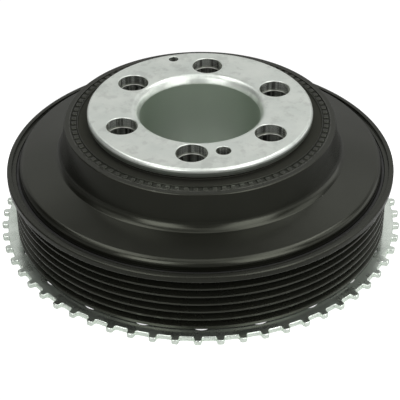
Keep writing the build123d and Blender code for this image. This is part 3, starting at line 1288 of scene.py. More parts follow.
@dataclass
class Carrier(SubAssembly):
    """Black pressing: bolt plate, cup wall, conical face and lip, with a ring of pressed pads."""

    bore_radius: float = 26.25
    plate: float = 4.0
    wall: float = 4.0
    seat_radius: float = 43.2
    seat_height: float = 0.7
    seat_rounding: float = 0.2
    recess_radius: float = 48.3
    recess_depth: float = 0.5
    recess_rounding: float = 0.12
    cup_radius: float = 53.8
    cup_height: float = 14.4
    cup_under_rounding: float = 1.0
    edge_step: float = 0.15
    edge_band: float = 2.0
    edge_rounding: float = 0.5
    band_rounding: float = 0.1
    band_foot_rounding: float = 0.04
    foot_radius: float = 57.9
    foot_flare: float = 2.4
    flare_angle: float = 60.0
    foot_rounding: float = 4.5
    foot_end_rounding: float = 0.3
    face_radius: float = 73.0
    face_angle: float = 9.2
    face_thickness: float = 3.5
    face_rounding: float = 2.75
    lip_rounding: float = 0.3
    under_lip_rounding: float = 0.5
    groove_inner: float = 48.7
    groove_outer: float = 51.3
    groove_depth: float = 0.45
    groove_slant: float = 0.1
    groove_rounding: float = 0.1
    groove_edge: float = 0.08
    pad_count: int = 90
    pad_length: float = 2.1
    pad_width: float = 2.1
    pad_height: float = 0.48
    pad_circle: float = 50.0
    pad_root: float = 0.1
    pad_crown: float = 0.08
    pad_shoulder: float = 0.35
    pad_sharp_angle: float = 50.0
    bolt_step: float = 0.6
    dowel_step: float = 0.5
    holes: BoltPattern = BoltPattern()

    def build(self, shop: Workshop) -> list[Piece]:
        """Turn and drill the pressing, and press the pads round its cup.

        Args:
            shop: Where the materials and the repeater come from.

        Returns:
            The pieces handed over.
        """
        lip_bottom, seat_top = heights(Node.CARRIER)
        piece = turned("carrier_pressing", self._half_section(lip_bottom, seat_top))
        bolts, dowel = self.holes.bolts, self.holes.dowel
        pattern = (
            replace(bolts, radius=bolts.radius - self.bolt_step),
            replace(dowel, radius=dowel.radius - self.dowel_step),
            self.holes.drain,
        )
        drill(piece, [hole.cutter(seat_top - self.plate, seat_top, shop.repeater) for hole in pattern])
        pressing = shop.hand_over(piece, Slot.BLACK_COAT, Node.CARRIER)
        return [pressing, self._pads(shop, seat_top - self.seat_height)]

    def _half_section(self, lip_bottom: float, seat_top: float) -> Outline:
        """Return the pressing's half section.

        Args:
            lip_bottom: Height of the turned-down lip's end.
            seat_top: Height of the flange's seat.

        Returns:
            The closed outline, as (radius, height).
        """
        slope = math.tan(math.radians(self.face_angle))
        plate_bottom = seat_top - self.plate
        cup_top = seat_top - self.seat_height
        recess = cup_top - self.recess_depth
        groove = cup_top - self.groove_depth
        foot_height = cup_top - self.cup_height
        flare = math.radians(self.flare_angle)
        flare_radius = self.foot_radius - self.foot_flare * math.sin(flare)
        flare_height = foot_height + self.foot_flare * math.cos(flare)
        under_drop = self.face_thickness / math.cos(math.radians(self.face_angle))
        edge_height = foot_height - (self.face_radius - self.foot_radius) * slope
        lip_inner = self.face_radius - self.face_thickness
        under_lip = foot_height - (lip_inner - self.foot_radius) * slope - under_drop
        inner_foot = flare_radius - self.wall + self.face_thickness * slope
        under_foot = foot_height - (inner_foot - self.foot_radius) * slope - under_drop
        band_radius = self.cup_radius - self.edge_band
        band_height = cup_top - self.edge_step
        return Outline(
            [
                Corner(self.bore_radius, plate_bottom, self.seat_rounding),
                Corner(self.bore_radius, seat_top, self.seat_rounding),
                Corner(self.seat_radius, seat_top, self.seat_rounding),
                Corner(self.seat_radius, recess, self.seat_rounding),
                Corner(self.recess_radius, recess, self.seat_rounding),
                Corner(self.recess_radius, cup_top, self.recess_rounding),
                Corner(self.groove_inner, cup_top, self.groove_edge),
                Corner(self.groove_inner + self.groove_slant, groove, self.groove_rounding),
                Corner(self.groove_outer - self.groove_slant, groove, self.groove_rounding),
                Corner(self.groove_outer, cup_top, self.groove_edge),
                Corner(band_radius, cup_top, self.band_rounding),
                Corner(band_radius, band_height, self.band_foot_rounding),
                Corner(self.cup_radius, band_height, self.edge_rounding),
                Corner(flare_radius, flare_height, self.foot_rounding),
                Corner(self.foot_radius, foot_height, self.foot_end_rounding),
                Corner(self.face_radius, edge_height, self.face_rounding),
                Corner(self.face_radius, lip_bottom, self.lip_rounding),
                Corner(lip_inner, lip_bottom, self.lip_rounding),
                Corner(lip_inner, under_lip, self.under_lip_rounding),
                Corner(inner_foot, under_foot, self.foot_rounding),
                Corner(self.cup_radius - self.wall, plate_bottom, self.cup_under_rounding),
            ]
        )

    def _pads(self, shop: Workshop, cup_top: float) -> Piece:
        """Return the ring of small raised pads on the cup's top.

        Args:
            shop: Where the repeater and materials come from.
            cup_top: Height of the cup's flat top.

        Returns:
            The handed-over ring of pads.
        """
        foot = cup_top - self.groove_depth
        crest = foot + self.pad_height
        levels = (
            (0.0, foot - self.pad_root),
            (0.0, foot + self.pad_root),
            (self.pad_shoulder / 3, crest - self.pad_crown),
            (self.pad_shoulder, crest),
        )
        draft = Draft()
        rows = []
        for inset, height in levels:
            long, wide = self.pad_length / 2 - inset, self.pad_width / 2 - inset
            corners = ((-long, -wide), (long, -wide), (long, wide), (-long, wide))
            rows.append(draft.ring((self.pad_circle + along, across, height) for along, across in corners))
        draft.skin(rows, closed=True)
        draft.faces += [rows[0], rows[-1]]
        piece = draft.piece("cup_pads")
        slot = Slot.BLACK_COAT
        shop.repeater.repeat(piece, self.pad_count, shop.materials[slot], 0.0, 360.0 / self.pad_count)
        return shop.hand_over(piece, slot, sharp_angle=self.pad_sharp_angle)


@dataclass
class RearHub(SubAssembly):
    """Plated drawn cup that is nested in the carrier and holds the trigger wheel."""

    bore_radius: float = 26.25
    bore_rounding: float = 0.25
    sheet: float = 3.0
    wall_radius: float = 49.5
    flange_radius: float = 66.0
    flange_rounding: float = 0.3
    outer_bend: float = 4.0
    inner_bend: float = 1.0
    holes: BoltPattern = BoltPattern()
    rivet_holes: Hole = Hole(radius=2.55, circle=58.5, angle=22.5, count=8, edge=0.1)

    def build(self, shop: Workshop) -> list[Piece]:
        """Turn and drill the cup.

        Args:
            shop: Where the materials and the repeater come from.

        Returns:
            The pieces handed over.
        """
        bottom, top = heights(Node.REAR_HUB)
        inside = self.wall_radius - self.sheet
        floor, brim = top - self.sheet, bottom + self.sheet
        corners = [
            Corner(self.bore_radius, floor, self.bore_rounding),
            Corner(self.bore_radius, top, self.bore_rounding),
            Corner(self.wall_radius, top, self.outer_bend),
            Corner(self.wall_radius, brim, self.inner_bend),
            Corner(self.flange_radius, brim, self.flange_rounding),
            Corner(self.flange_radius, bottom, self.flange_rounding),
            Corner(inside, bottom, self.outer_bend),
            Corner(inside, floor, self.inner_bend),
        ]
        piece = turned("rear_cup", Outline(corners))
        cutters = [hole.cutter(floor, top, shop.repeater) for hole in (self.holes.bolts, self.holes.dowel)]
        drill(piece, [*cutters, self.rivet_holes.cutter(bottom, brim, shop.repeater)])
        return [shop.hand_over(piece, Slot.REAR_ZINC, Node.REAR_HUB)]


@dataclass
class BeltRing(SubAssembly):
    """Ribbed ring that the belt runs on, with a stepped front rim."""

    crest_radius: float = 75.5
    root_radius: float = 72.65
    shoulder: float = 1.2
    shoulder_rounding: float = 0.08
    groove_count: int = 6
    rib_pitch: float = 3.56
    crest_width: float = 0.7
    crest_rounding: float = 0.18
    groove_angle: float = 40.0
    root_rounding: float = 0.3
    rib_arc_step: float = 24.0
    rim_radius: float = 77.85
    rim_flank: float = 1.94
    rim_rounding: float = 0.6
    rim_foot_rounding: float = 0.4
    inner_radius: float = 70.0
    rebate_radius: float = 72.0
    rebate_depth: float = 1.8
    front_bore: float = 74.2
    bush_seat_depth: float = 3.7
    ledge_radius: float = 75.9
    ledge_depth: float = 1.0
    edge: float = 0.15

    def build(self, shop: Workshop) -> list[Piece]:
        """Turn the ring's body, repeat its ribs up the axis and join them.

        Args:
            shop: Where the materials and the repeater come from.

        Returns:
            The pieces handed over.
        """
        bottom, top = heights(Node.BELT_RING)
        body = turned("ring_body", self._body(bottom, top))
        ribs = turned("rib", self._rib(self._first_root(bottom)))
        material = shop.materials[Slot.BLACK_RING]
        shop.repeater.repeat(ribs, self.groove_count - 1, material, rise_step=self.rib_pitch)
        piece = join("ribbed_ring", [body, ribs])
        return [shop.hand_over(piece, Slot.BLACK_RING, Node.BELT_RING)]

    @property
    def _mouth(self) -> float:
        """Height of a groove's mouth."""
        return self.rib_pitch - self.crest_width

    @property
    def _root_half(self) -> float:
        """Half of the height of a groove's root."""
        flank = (self.crest_radius - self.root_radius) * math.tan(math.radians(self.groove_angle / 2))
        return self._mouth / 2 - flank

    def _first_root(self, bottom: float) -> float:
        """Return the height of the lowest root's middle, over the ring's underside."""
        return bottom + self.shoulder + self._mouth / 2

    def _rib(self, root: float) -> Outline:
        """Return one rib, from the middle of one groove's root to the next.

        Args:
            root: Height of the lower root's middle.

        Returns:
            The open outline, as (radius, height).
        """
        crest = root + self._mouth / 2
        next_root = root + self.rib_pitch
        corners = [
            Corner(self.root_radius, root),
            Corner(self.root_radius, root + self._root_half, self.root_rounding),
            Corner(self.crest_radius, crest, self.crest_rounding),
            Corner(self.crest_radius, crest + self.crest_width, self.crest_rounding),
            Corner(self.root_radius, next_root - self._root_half, self.root_rounding),
            Corner(self.root_radius, next_root),
        ]
        return Outline(corners, closed=False, arc_step=self.rib_arc_step)

    def _body(self, bottom: float, top: float) -> Outline:
        """Return all of the ring's half section but its ribs.

        Args:
            bottom: Height of the ring's underside.
            top: Height of its front.

        Returns:
            The open outline, as (radius, height).
        """
        first_root = self._first_root(bottom)
        last_root = first_root + (self.groove_count - 1) * self.rib_pitch
        rebate_top = bottom + self.rebate_depth
        bush_seat = top - self.bush_seat_depth
        ledge = top - self.ledge_depth
        rim_start = last_root + self._mouth / 2
        corners = [
            Corner(self.root_radius, first_root),
            Corner(self.root_radius, first_root - self._root_half, self.root_rounding),
            Corner(self.crest_radius, first_root - self._mouth / 2, self.crest_rounding),
            Corner(self.crest_radius, bottom, self.shoulder_rounding),
            Corner(self.rebate_radius, bottom, self.edge),
            Corner(self.rebate_radius, rebate_top),
            Corner(self.inner_radius, rebate_top, self.edge),
            Corner(self.inner_radius, bush_seat, self.edge),
            Corner(self.front_bore, bush_seat, self.edge),
            Corner(self.front_bore, ledge, self.edge),
            Corner(self.ledge_radius, ledge, self.edge),
            Corner(self.ledge_radius, top, self.edge),
            Corner(self.rim_radius, top, self.rim_rounding),
            Corner(self.rim_radius, rim_start + self.rim_flank, self.rim_rounding),
            Corner(self.crest_radius, rim_start, self.rim_foot_rounding),
            Corner(self.root_radius, last_root + self._root_half, self.root_rounding),
            Corner(self.root_radius, last_root),
        ]
        return Outline(corners, closed=False)


@dataclass(frozen=True)
class Edge:
    """An outline of a plate, with the way its wall runs from the plate's top to its underside.

    Attributes:
        points: The outline at the wall, with the metal on its left.
        wall: Pairs of a distance into the metal and a height, from the top down.
        closed: Whether the outline closes on itself.
    """

    points: Sequence[Point]
    wall: Sequence[Point]
    closed: bool = False

    # Cosine of half the sharpest turn that is moved in full.
    SHARPEST = 0.5

    def inset(self, distance: float) -> list[Point]:
        """Move the outline into the metal.

        Args:
            distance: How far it moves.

        Returns:
            The moved points.
        """
        count = len(self.points)
        moved = []
        for index, (x, y) in enumerate(self.points):
            if not self.closed and index in (0, count - 1):
                shift = self._radial_sense() * distance / math.hypot(x, y)
                moved.append((x + shift * x, y + shift * y))
                continue
            before, after = self.points[index - 1], self.points[(index + 1) % count]
            ahead = Vector((after[0] - x, after[1] - y)).normalized()
            back = Vector((x - before[0], y - before[1])).normalized()
            left_ahead = Vector((-ahead.y, ahead.x))
            left_back = Vector((-back.y, back.x))
            mean = (left_ahead + left_back).normalized()
            reach = distance / max(mean.dot(left_ahead), self.SHARPEST)
            moved.append((x + mean.x * reach, y + mean.y * reach))
        return moved

    def _radial_sense(self) -> float:
        """Return 1 where the metal lies outside an open outline round the axis, and -1 inside it."""
        (x0, y0), (x1, y1) = self.points[0], self.points[-1]
        return -1.0 if x0 * y1 - x1 * y0 > 0 else 1.0


def rounded_wall(bottom: float, top: float, rounding: float) -> list[Point]:
    """Return the wall of a plate with both of its edges rounded.

    Args:
        bottom: Height of the underside.
        top: Height of the top.
        rounding: Radius of both edges.

    Returns:
        Pairs of a distance into the metal and a height, from the top down.
    """
    steps = 3
    quarter = [math.pi / 2 * step / steps for step in range(steps + 1)]
    upper = [(rounding * (1 - math.sin(turn)), top - rounding * (1 - math.cos(turn))) for turn in quarter]
    lower = [(inset, bottom + top - height) for inset, height in reversed(upper)]
    return upper + lower


def round_edge(radius: float, circle: float, wall: Sequence[Point]) -> Edge:
    """Return the edge of a round hole that stands on the +X axis.

    Args:
        radius: The hole's radius.
        circle: Distance of its middle from the upright axis.
        wall: Pairs of a distance into the metal and a height, from the top down.

    Returns:
        The closed edge.
    """
    turns = (-360.0 * step / ROUND_STEPS for step in range(ROUND_STEPS))
    return Edge([polar(radius, turn, (circle, 0.0)) for turn in turns], wall, closed=True)


def inside_loop(point: Point, loop: Sequence[Point]) -> bool:
    """Tell whether a point lies inside a closed outline.

    Args:
        point: The point.
        loop: The outline's points in order.

    Returns:
        True inside it.
    """
    x, y = point
    inside = False
    for (x0, y0), (x1, y1) in zip(loop, [*loop[1:], loop[0]]):
        if (y0 > y) != (y1 > y) and x < x0 + (y - y0) * (x1 - x0) / (y1 - y0):
            inside = not inside
    return inside


@dataclass(frozen=True)
class Sectors:
    """A ring of equal sectors, which shares its border points with the rings beside it.

    Attributes:
        count: How many sectors make a full turn.
        first: Angle of the first one, in degrees.
    """

    count: int
    first: float

    # Points round a whole border, a multiple of every ring's count.
    BORDER_STEPS = 840

    @property
    def step(self) -> float:
        """Angle of one sector, in degrees."""
        return 360.0 / self.count

    @property
    def shift(self) -> float:
        """Angle that the seams turn to meet the shared border points.

        Returns:
            The angle, in degrees.
        """
        pitch = 360.0 / self.BORDER_STEPS
        seam = self.first - self.step / 2
        return round(seam / pitch) * pitch - seam

    def border(self, radius: float) -> list[Point]:
        """Take a sector's share of a circle of border points, about +X.

        Args:
            radius: The circle's radius.

        Returns:
            The points, in the sense of growing angle.
        """
        spans = round(self.step / 360.0 * self.BORDER_STEPS)
        start = self.shift - self.step / 2
        return [polar(radius, start + self.step * span / spans) for span in range(spans + 1)]


@dataclass
class PlateCell:
    """One repeated sector of a flat ring, between two circles or cut edges.

    Attributes:
        outer: Cut edge on the outside, or None.
        inner: Cut edge on the inside, or None.
        outer_border: Points shared with the ring outside it, where it has no outer edge.
        inner_border: Points shared with the ring inside it, where it has no inner edge.
        holes: Edges of the holes through the cell.
    """

    outer: Edge | None = None
    inner: Edge | None = None
    outer_border: Sequence[Point] = ()
    inner_border: Sequence[Point] = ()
    holes: Sequence[Edge] = ()

    # Points closer than this are one point of a flat face.
    SNAP = 1e-5

    def draft(self, bottom: float, top: float) -> Draft:
        """Return the cell's walls, top and underside.

        Args:
            bottom: Height of the underside.
            top: Height of the top.

        Returns:
            The cell's mesh in the making.
        """
        draft = Draft()
        for end, height in ((0, top), (-1, bottom)):
            far = self.outer.inset(self.outer.wall[end][0]) if self.outer else list(self.outer_border)
            near = self.inner.inset(self.inner.wall[end][0])[::-1] if self.inner else list(self.inner_border)
            openings = [hole.inset(hole.wall[end][0]) for hole in self.holes]
            self._cap(draft, far + near[::-1], openings, height)
        for edge in filter(None, (self.outer, self.inner, *self.holes)):
            rows = [draft.ring((x, y, height) for x, y in edge.inset(inset)) for inset, height in edge.wall]
            draft.skin(rows, closed=edge.closed)
        return draft

    def _cap(self, draft: Draft, rim: list[Point], openings: list[list[Point]], height: float) -> None:
        """Add the flat face between a rim and its openings.

        Args:
            draft: Mesh that gets the face.
            rim: The face's outside.
            openings: The outlines left out of it.
            height: Height of the face.
        """
        loops = [rim, *openings]
        points = [Vector(point) for loop in loops for point in loop]
        edges, first = [], 0
        for loop in loops:
            edges += [(first + index, first + (index + 1) % len(loop)) for index in range(len(loop))]
            first += len(loop)
        placed, _, triangles, *_ = delaunay_2d_cdt(points, edges, [], 0, self.SNAP)
        numbers = draft.ring((point.x, point.y, height) for point in placed)
        for triangle in triangles:
            middle = sum((placed[corner] for corner in triangle), Vector((0, 0))) / 3
            if inside_loop(middle, rim) and not any(inside_loop(middle, opening) for opening in openings):
                draft.faces.append([numbers[corner] for corner in triangle])


@dataclass
class TriggerWheel(SubAssembly):
    """Stamped toothed ring with a two-tooth gap, a row of windows and countersunk rivets."""

    tip_radius: float = 82.0
    root_radius: float = 79.6
    bore_radius: float = 51.0
    edge: float = 0.4
    teeth: Sectors = Sectors(60, -0.93)
    first_missing: int = 15
    missing: int = 2
    tip_width: float = 2.5
    root_width: float = 3.1
    tip_rounding: float = 0.9
    root_rounding: float = 0.7
    root_clearance: float = 1.15
    valley_steps: int = 4
    tooth_arc_step: float = 18.0
    windows: Sectors = Sectors(21, -90.0)
    window_radius: float = 4.3
    window_circle: float = 71.2
    window_border: float = 77.0
    rivet_border: float = 65.4
    rivets: Sectors = Sectors(8, 22.5)
    rivet_circle: float = 58.5
    rivet_shank: float = 2.5
    rivet_head: float = 4.5
    rivet_sink: float = 1.5
    rivet_edge: float = 0.08
    button_radius: float = 4.2
    button_height: float = 1.6
    dome_steps: int = 6
    clearance: float = 0.05

    def build(self, shop: Workshop) -> list[Piece]:
        """Repeat the wheel's sectors round it and join them, and set the rivets.

        Args:
            shop: Where the materials and the repeater come from.

        Returns:
            The pieces handed over.
        """
        bottom, top = heights(Node.TRIGGER_WHEEL)
        first_gap = self.teeth.first + self.first_missing * self.teeth.step
        next_tooth = self.teeth.first + (self.first_missing + self.missing) * self.teeth.step
        wall = rounded_wall(bottom, top, self.edge)
        sunk_wall = [
            (0.0, top),
            (0.0, bottom + self.rivet_sink),
            (self.rivet_head - self.rivet_shank, bottom),
        ]
        sectors = (
            (self._tooth_cell(wall), self.teeth, self.teeth.count - self.missing, next_tooth),
            (self._gap_cell(wall), self.teeth, self.missing, first_gap),
            (self._window_cell(wall), self.windows, self.windows.count, self.windows.first),
            (self._rivet_cell(wall, sunk_wall), self.rivets, self.rivets.count, self.rivets.first),
        )
        material = shop.materials[Slot.WHEEL_ZINC]
        rings = []
        for cell, ring, count, first in sectors:
            sector = cell.draft(bottom, top).piece("sector")
            rings.append(shop.repeater.repeat(sector, count, material, first, ring.step))
        wheel = shop.hand_over(join("toothed_wheel", rings), Slot.WHEEL_ZINC, Node.TRIGGER_WHEEL)
        return [wheel, self._rivets(shop)]

    def _tooth_cell(self, wall: list[Point]) -> PlateCell:
        """Cut the sector of one tooth.

        Args:
            wall: Pairs of a distance into the metal and a height, from the top down.

        Returns:
            The sector.
        """
        seam = self.teeth.step / 2
        shift = self.teeth.shift
        half_root, half_tip = self.root_width / 2, self.tip_width / 2
        foot = math.sqrt(self.root_radius**2 - half_root**2)
        clear = math.degrees((half_root + self.root_clearance * self.root_rounding) / self.root_radius)
        shares = [span / self.valley_steps for span in range(self.valley_steps + 1)]
        valley = [seam - (seam - clear) * share for share in shares]
        rising = [polar(self.root_radius, -angle) for angle in valley]
        falling = [polar(self.root_radius, angle) for angle in reversed(valley)]
        rising[0] = polar(self.root_radius, shift - seam)
        falling[-1] = polar(self.root_radius, shift + seam)
        corners = [
            *(Corner(x, y) for x, y in rising),
            Corner(foot, -half_root, self.root_rounding),
            Corner(self.tip_radius, -half_tip, self.tip_rounding),
            Corner(self.tip_radius, half_tip, self.tip_rounding),
            Corner(foot, half_root, self.root_rounding),
            *(Corner(x, y) for x, y in falling),
        ]
        tooth = Outline(corners, closed=False, arc_step=self.tooth_arc_step)
        border = self.teeth.border(self.window_border)
        return PlateCell(outer=Edge(tooth.points(), wall), inner_border=border)

    def _gap_cell(self, wall: list[Point]) -> PlateCell:
        """Return the sector of a missing tooth, with that wall."""
        rim = Edge(self.teeth.border(self.root_radius), wall)
        return PlateCell(outer=rim, inner_border=self.teeth.border(self.window_border))

    def _window_cell(self, wall: list[Point]) -> PlateCell:
        """Cut the sector of one window.

        Args:
            wall: Pairs of a distance into the metal and a height, from the top down.

        Returns:
            The sector.
        """
        return PlateCell(
            outer_border=self.windows.border(self.window_border),
            inner_border=self.windows.border(self.rivet_border),
            holes=[round_edge(self.window_radius, self.window_circle, wall)],
        )

    def _rivet_cell(self, wall: list[Point], sunk_wall: list[Point]) -> PlateCell:
        """Cut the sector of one rivet.

        Args:
            wall: The bore's wall, from the top down.
            sunk_wall: The rivet hole's wall, from the top down.

        Returns:
            The sector.
        """
        return PlateCell(
            outer_border=self.rivets.border(self.rivet_border),
            inner=Edge(self.rivets.border(self.bore_radius)[::-1], wall),
            holes=[round_edge(self.rivet_shank + self.clearance, self.rivet_circle, sunk_wall)],
        )

    def _rivets(self, shop: Workshop) -> Piece:
        """Turn one rivet and repeat it.

        Args:
            shop: Where the materials and the repeater come from.

        Returns:
            The ring of rivets, handed over.
        """
        bottom, top = heights(Node.WHEEL_RIVETS)
        dome_radius = (self.button_radius**2 + self.button_height**2) / (2 * self.button_height)
        half_turn = math.asin(self.button_radius / dome_radius)
        turns = [half_turn * (1 - span / self.dome_steps) for span in range(self.dome_steps + 1)]
        dome = [(dome_radius * math.sin(turn), dome_radius * (1 - math.cos(turn))) for turn in turns]
        corners = [
            Corner(0.0, bottom),
            Corner(self.rivet_head, bottom, self.rivet_edge),
            Corner(self.rivet_shank, bottom + self.rivet_sink),
            Corner(self.rivet_shank, top - self.button_height),
            *(Corner(radius, top - drop) for radius, drop in dome),
        ]
        piece = turned("rivets", Outline(corners, closed=False), ROUND_STEPS, (self.rivet_circle, 0.0))
        ring, material = self.rivets, shop.materials[Slot.RIVET_STEEL]
        shop.repeater.repeat(piece, ring.count, material, ring.first, ring.step)
        return shop.hand_over(piece, Slot.RIVET_STEEL, Node.WHEEL_RIVETS)


@dataclass(frozen=True)
class SquareSection:
    """Section of a turned ring with four rounded corners.

    Attributes:
        inner: The ring's inner radius.
        outer: Its outer radius.
        rounding: Radius of its edges.
    """

    inner: float
    outer: float
    rounding: float

    def corners(self, bottom: float, top: float) -> list[Corner]:
        """Return the section's corners between two heights."""
        places = ((self.inner, bottom), (self.outer, bottom), (self.outer, top), (self.inner, top))
        return [Corner(radius, height, self.rounding) for radius, height in places]


@dataclass
class InnerRings(SubAssembly):
    """The damper, the coupling and the plain bearings between the pressings."""

    damper_rubber: SquareSection = SquareSection(49.55, 53.45, 0.8)
    inertia: SquareSection = SquareSection(53.5, 62.0, 0.4)
    coupling_rubber: SquareSection = SquareSection(65.25, 69.95, 1.0)
    thrust: SquareSection = SquareSection(68.6, 71.95, 0.2)
    coupling_inner: float = 63.2
    coupling_outer: float = 65.2
    coupling_flange: float = 68.6
    coupling_bend: float = 0.8
    coupling_edge: float = 0.3
    weld_edge: float = 0.1
    face_angle: float = 9.2
    bush_inner: float = 70.2
    bush_base: float = 1.3
    bush_edge: float = 0.1
    collar_inner: float = 73.05
    collar_outer: float = 74.15
    collar_edge: float = 0.2

    def build(self, shop: Workshop) -> list[Piece]:
        """Turn every ring.

        Args:
            shop: Where the materials and the repeater come from.

        Returns:
            The pieces handed over.
        """
        rings = (
            (Node.DAMPER_RUBBER, Slot.BONDED_RUBBER, self.damper_rubber.corners),
            (Node.INERTIA_RING, Slot.CAST_IRON, self.inertia.corners),
            (Node.COUPLING_RING, Slot.PHOSPHATED_STEEL, self._coupling),
            (Node.COUPLING_RUBBER, Slot.BONDED_RUBBER, self.coupling_rubber.corners),
            (Node.BEARING_BUSH, Slot.BEARING_PLASTIC, self._bush),
            (Node.THRUST_RING, Slot.BEARING_PLASTIC, self.thrust.corners),
        )
        pieces = []
        for node, slot, corners in rings:
            ring = turned(node.value + "_turned", Outline(corners(*heights(node))))
            pieces.append(shop.hand_over(ring, slot, node))
        return pieces

    def _coupling(self, bottom: float, top: float) -> list[Corner]:
        """Draw the section of the flanged coupling ring.

        Args:
            bottom: Height of the ring's underside.
            top: Height of its top.

        Returns:
            Its corners.
        """
        slope = math.tan(math.radians(self.face_angle))
        wall = self.coupling_outer - self.coupling_inner
        edge_top = top - (self.coupling_flange - self.coupling_inner) * slope
        return [
            Corner(self.coupling_inner, bottom, self.coupling_edge),
            Corner(self.coupling_inner, top, self.weld_edge),
            Corner(self.coupling_flange, edge_top, self.coupling_edge),
            Corner(self.coupling_flange, edge_top - wall, self.coupling_edge),
            Corner(self.coupling_outer, top - wall * slope - wall, self.coupling_bend),
            Corner(self.coupling_outer, bottom, self.coupling_edge),
        ]

    def _bush(self, bottom: float, top: float) -> list[Corner]:
        """Draw the section of the flanged bush.

        Args:
            bottom: Height of the ring's underside.
            top: Height of its top.

        Returns:
            Its corners.
        """
        base_top = bottom + self.bush_base
        return [
            Corner(self.bush_inner, bottom, self.bush_edge),
            Corner(self.collar_outer, bottom, self.bush_edge),
            Corner(self.collar_outer, top, self.collar_edge),
            Corner(self.collar_inner, top, self.collar_edge),
            Corner(self.collar_inner, base_top),
            Corner(self.bush_inner, base_top, self.bush_edge),
        ]


# --- Studio -------------------------------------------------------------------------------------


def direction(azimuth: float, elevation: float) -> Vector:
    """Return the unit vector at an azimuth from +X and an elevation, in degrees."""
    around, above = math.radians(azimuth), math.radians(elevation)
    return Vector((math.cos(around) * math.cos(above), math.sin(around) * math.cos(above), math.sin(above)))


@dataclass(frozen=True)
class SoftBox:
    """A rectangular lamp that faces the object.

    Attributes:
        name: The lamp's name.
        azimuth: Where it stands round the object, in degrees from +X.
        elevation: How high it stands, in degrees.
        width: Its size along the floor, in metres.
        height: Its other size, in metres.
        brightness: Its radiance.
        distance: How far it is from the object, in metres.
    """

    name: str
    azimuth: float
    elevation: float
    width: float
    height: float
    brightness: float
    distance: float = 1.1

    def hang(self) -> None:
        """Put the lamp in the scene."""
        lamp = bpy.data.lights.new(self.name, "AREA")
        lamp.shape = "RECTANGLE"
        lamp.size = self.width
        lamp.size_y = self.height
        lamp.energy = self.brightness * math.pi * self.width * self.height
        hanger = bpy.data.objects.new(self.name, lamp)
        toward = direction(self.azimuth, self.elevation)
        side = direction(self.azimuth + 90.0, 0.0)
        hanger.location = toward * self.distance
        hanger.rotation_euler = Matrix((side, toward.cross(side), toward)).transposed().to_euler()
        hanger.visible_camera = False
        bpy.context.scene.collection.objects.link(hanger)


@dataclass(frozen=True)
class Wall:
    """A stretch of the room's wall that lights the object.

    Attributes:
        azimuth: Its middle, in degrees from +X.
        half_width: Half of its width, in degrees.
        low: Where it starts above the horizon, in degrees.
        high: Where it ends, in degrees.
        brightness: Its radiance.
    """

    azimuth: float
    half_width: float
    low: float
    high: float
    brightness: float

    BLEND = math.radians(3.0)

    def light(self, sheet: Sheet, around: Socket, above: Socket) -> Socket:
        """Return the light that the wall sends from a direction.

        Args:
            sheet: The world's node tree.
            around: Azimuth of the direction, in radians.
            above: Its elevation, in radians.

        Returns:
            The radiance from that direction.
        """
        off = sheet.math("SUBTRACT", around, math.radians(self.azimuth))
        turn = sheet.math("ABSOLUTE", sheet.math("WRAP", off, math.pi, -math.pi))
        side, low, high = (math.radians(angle) for angle in (self.half_width, self.low, self.high))
        sideways = sheet.ramp(turn, side - self.BLEND, side + self.BLEND, self.brightness, 0.0)
        over = sheet.ramp(above, low - self.BLEND, low + self.BLEND)
        under = sheet.ramp(above, high - self.BLEND, high + self.BLEND, 1.0, 0.0)
        return sheet.math("MULTIPLY", sideways, sheet.math("MULTIPLY", over, under))


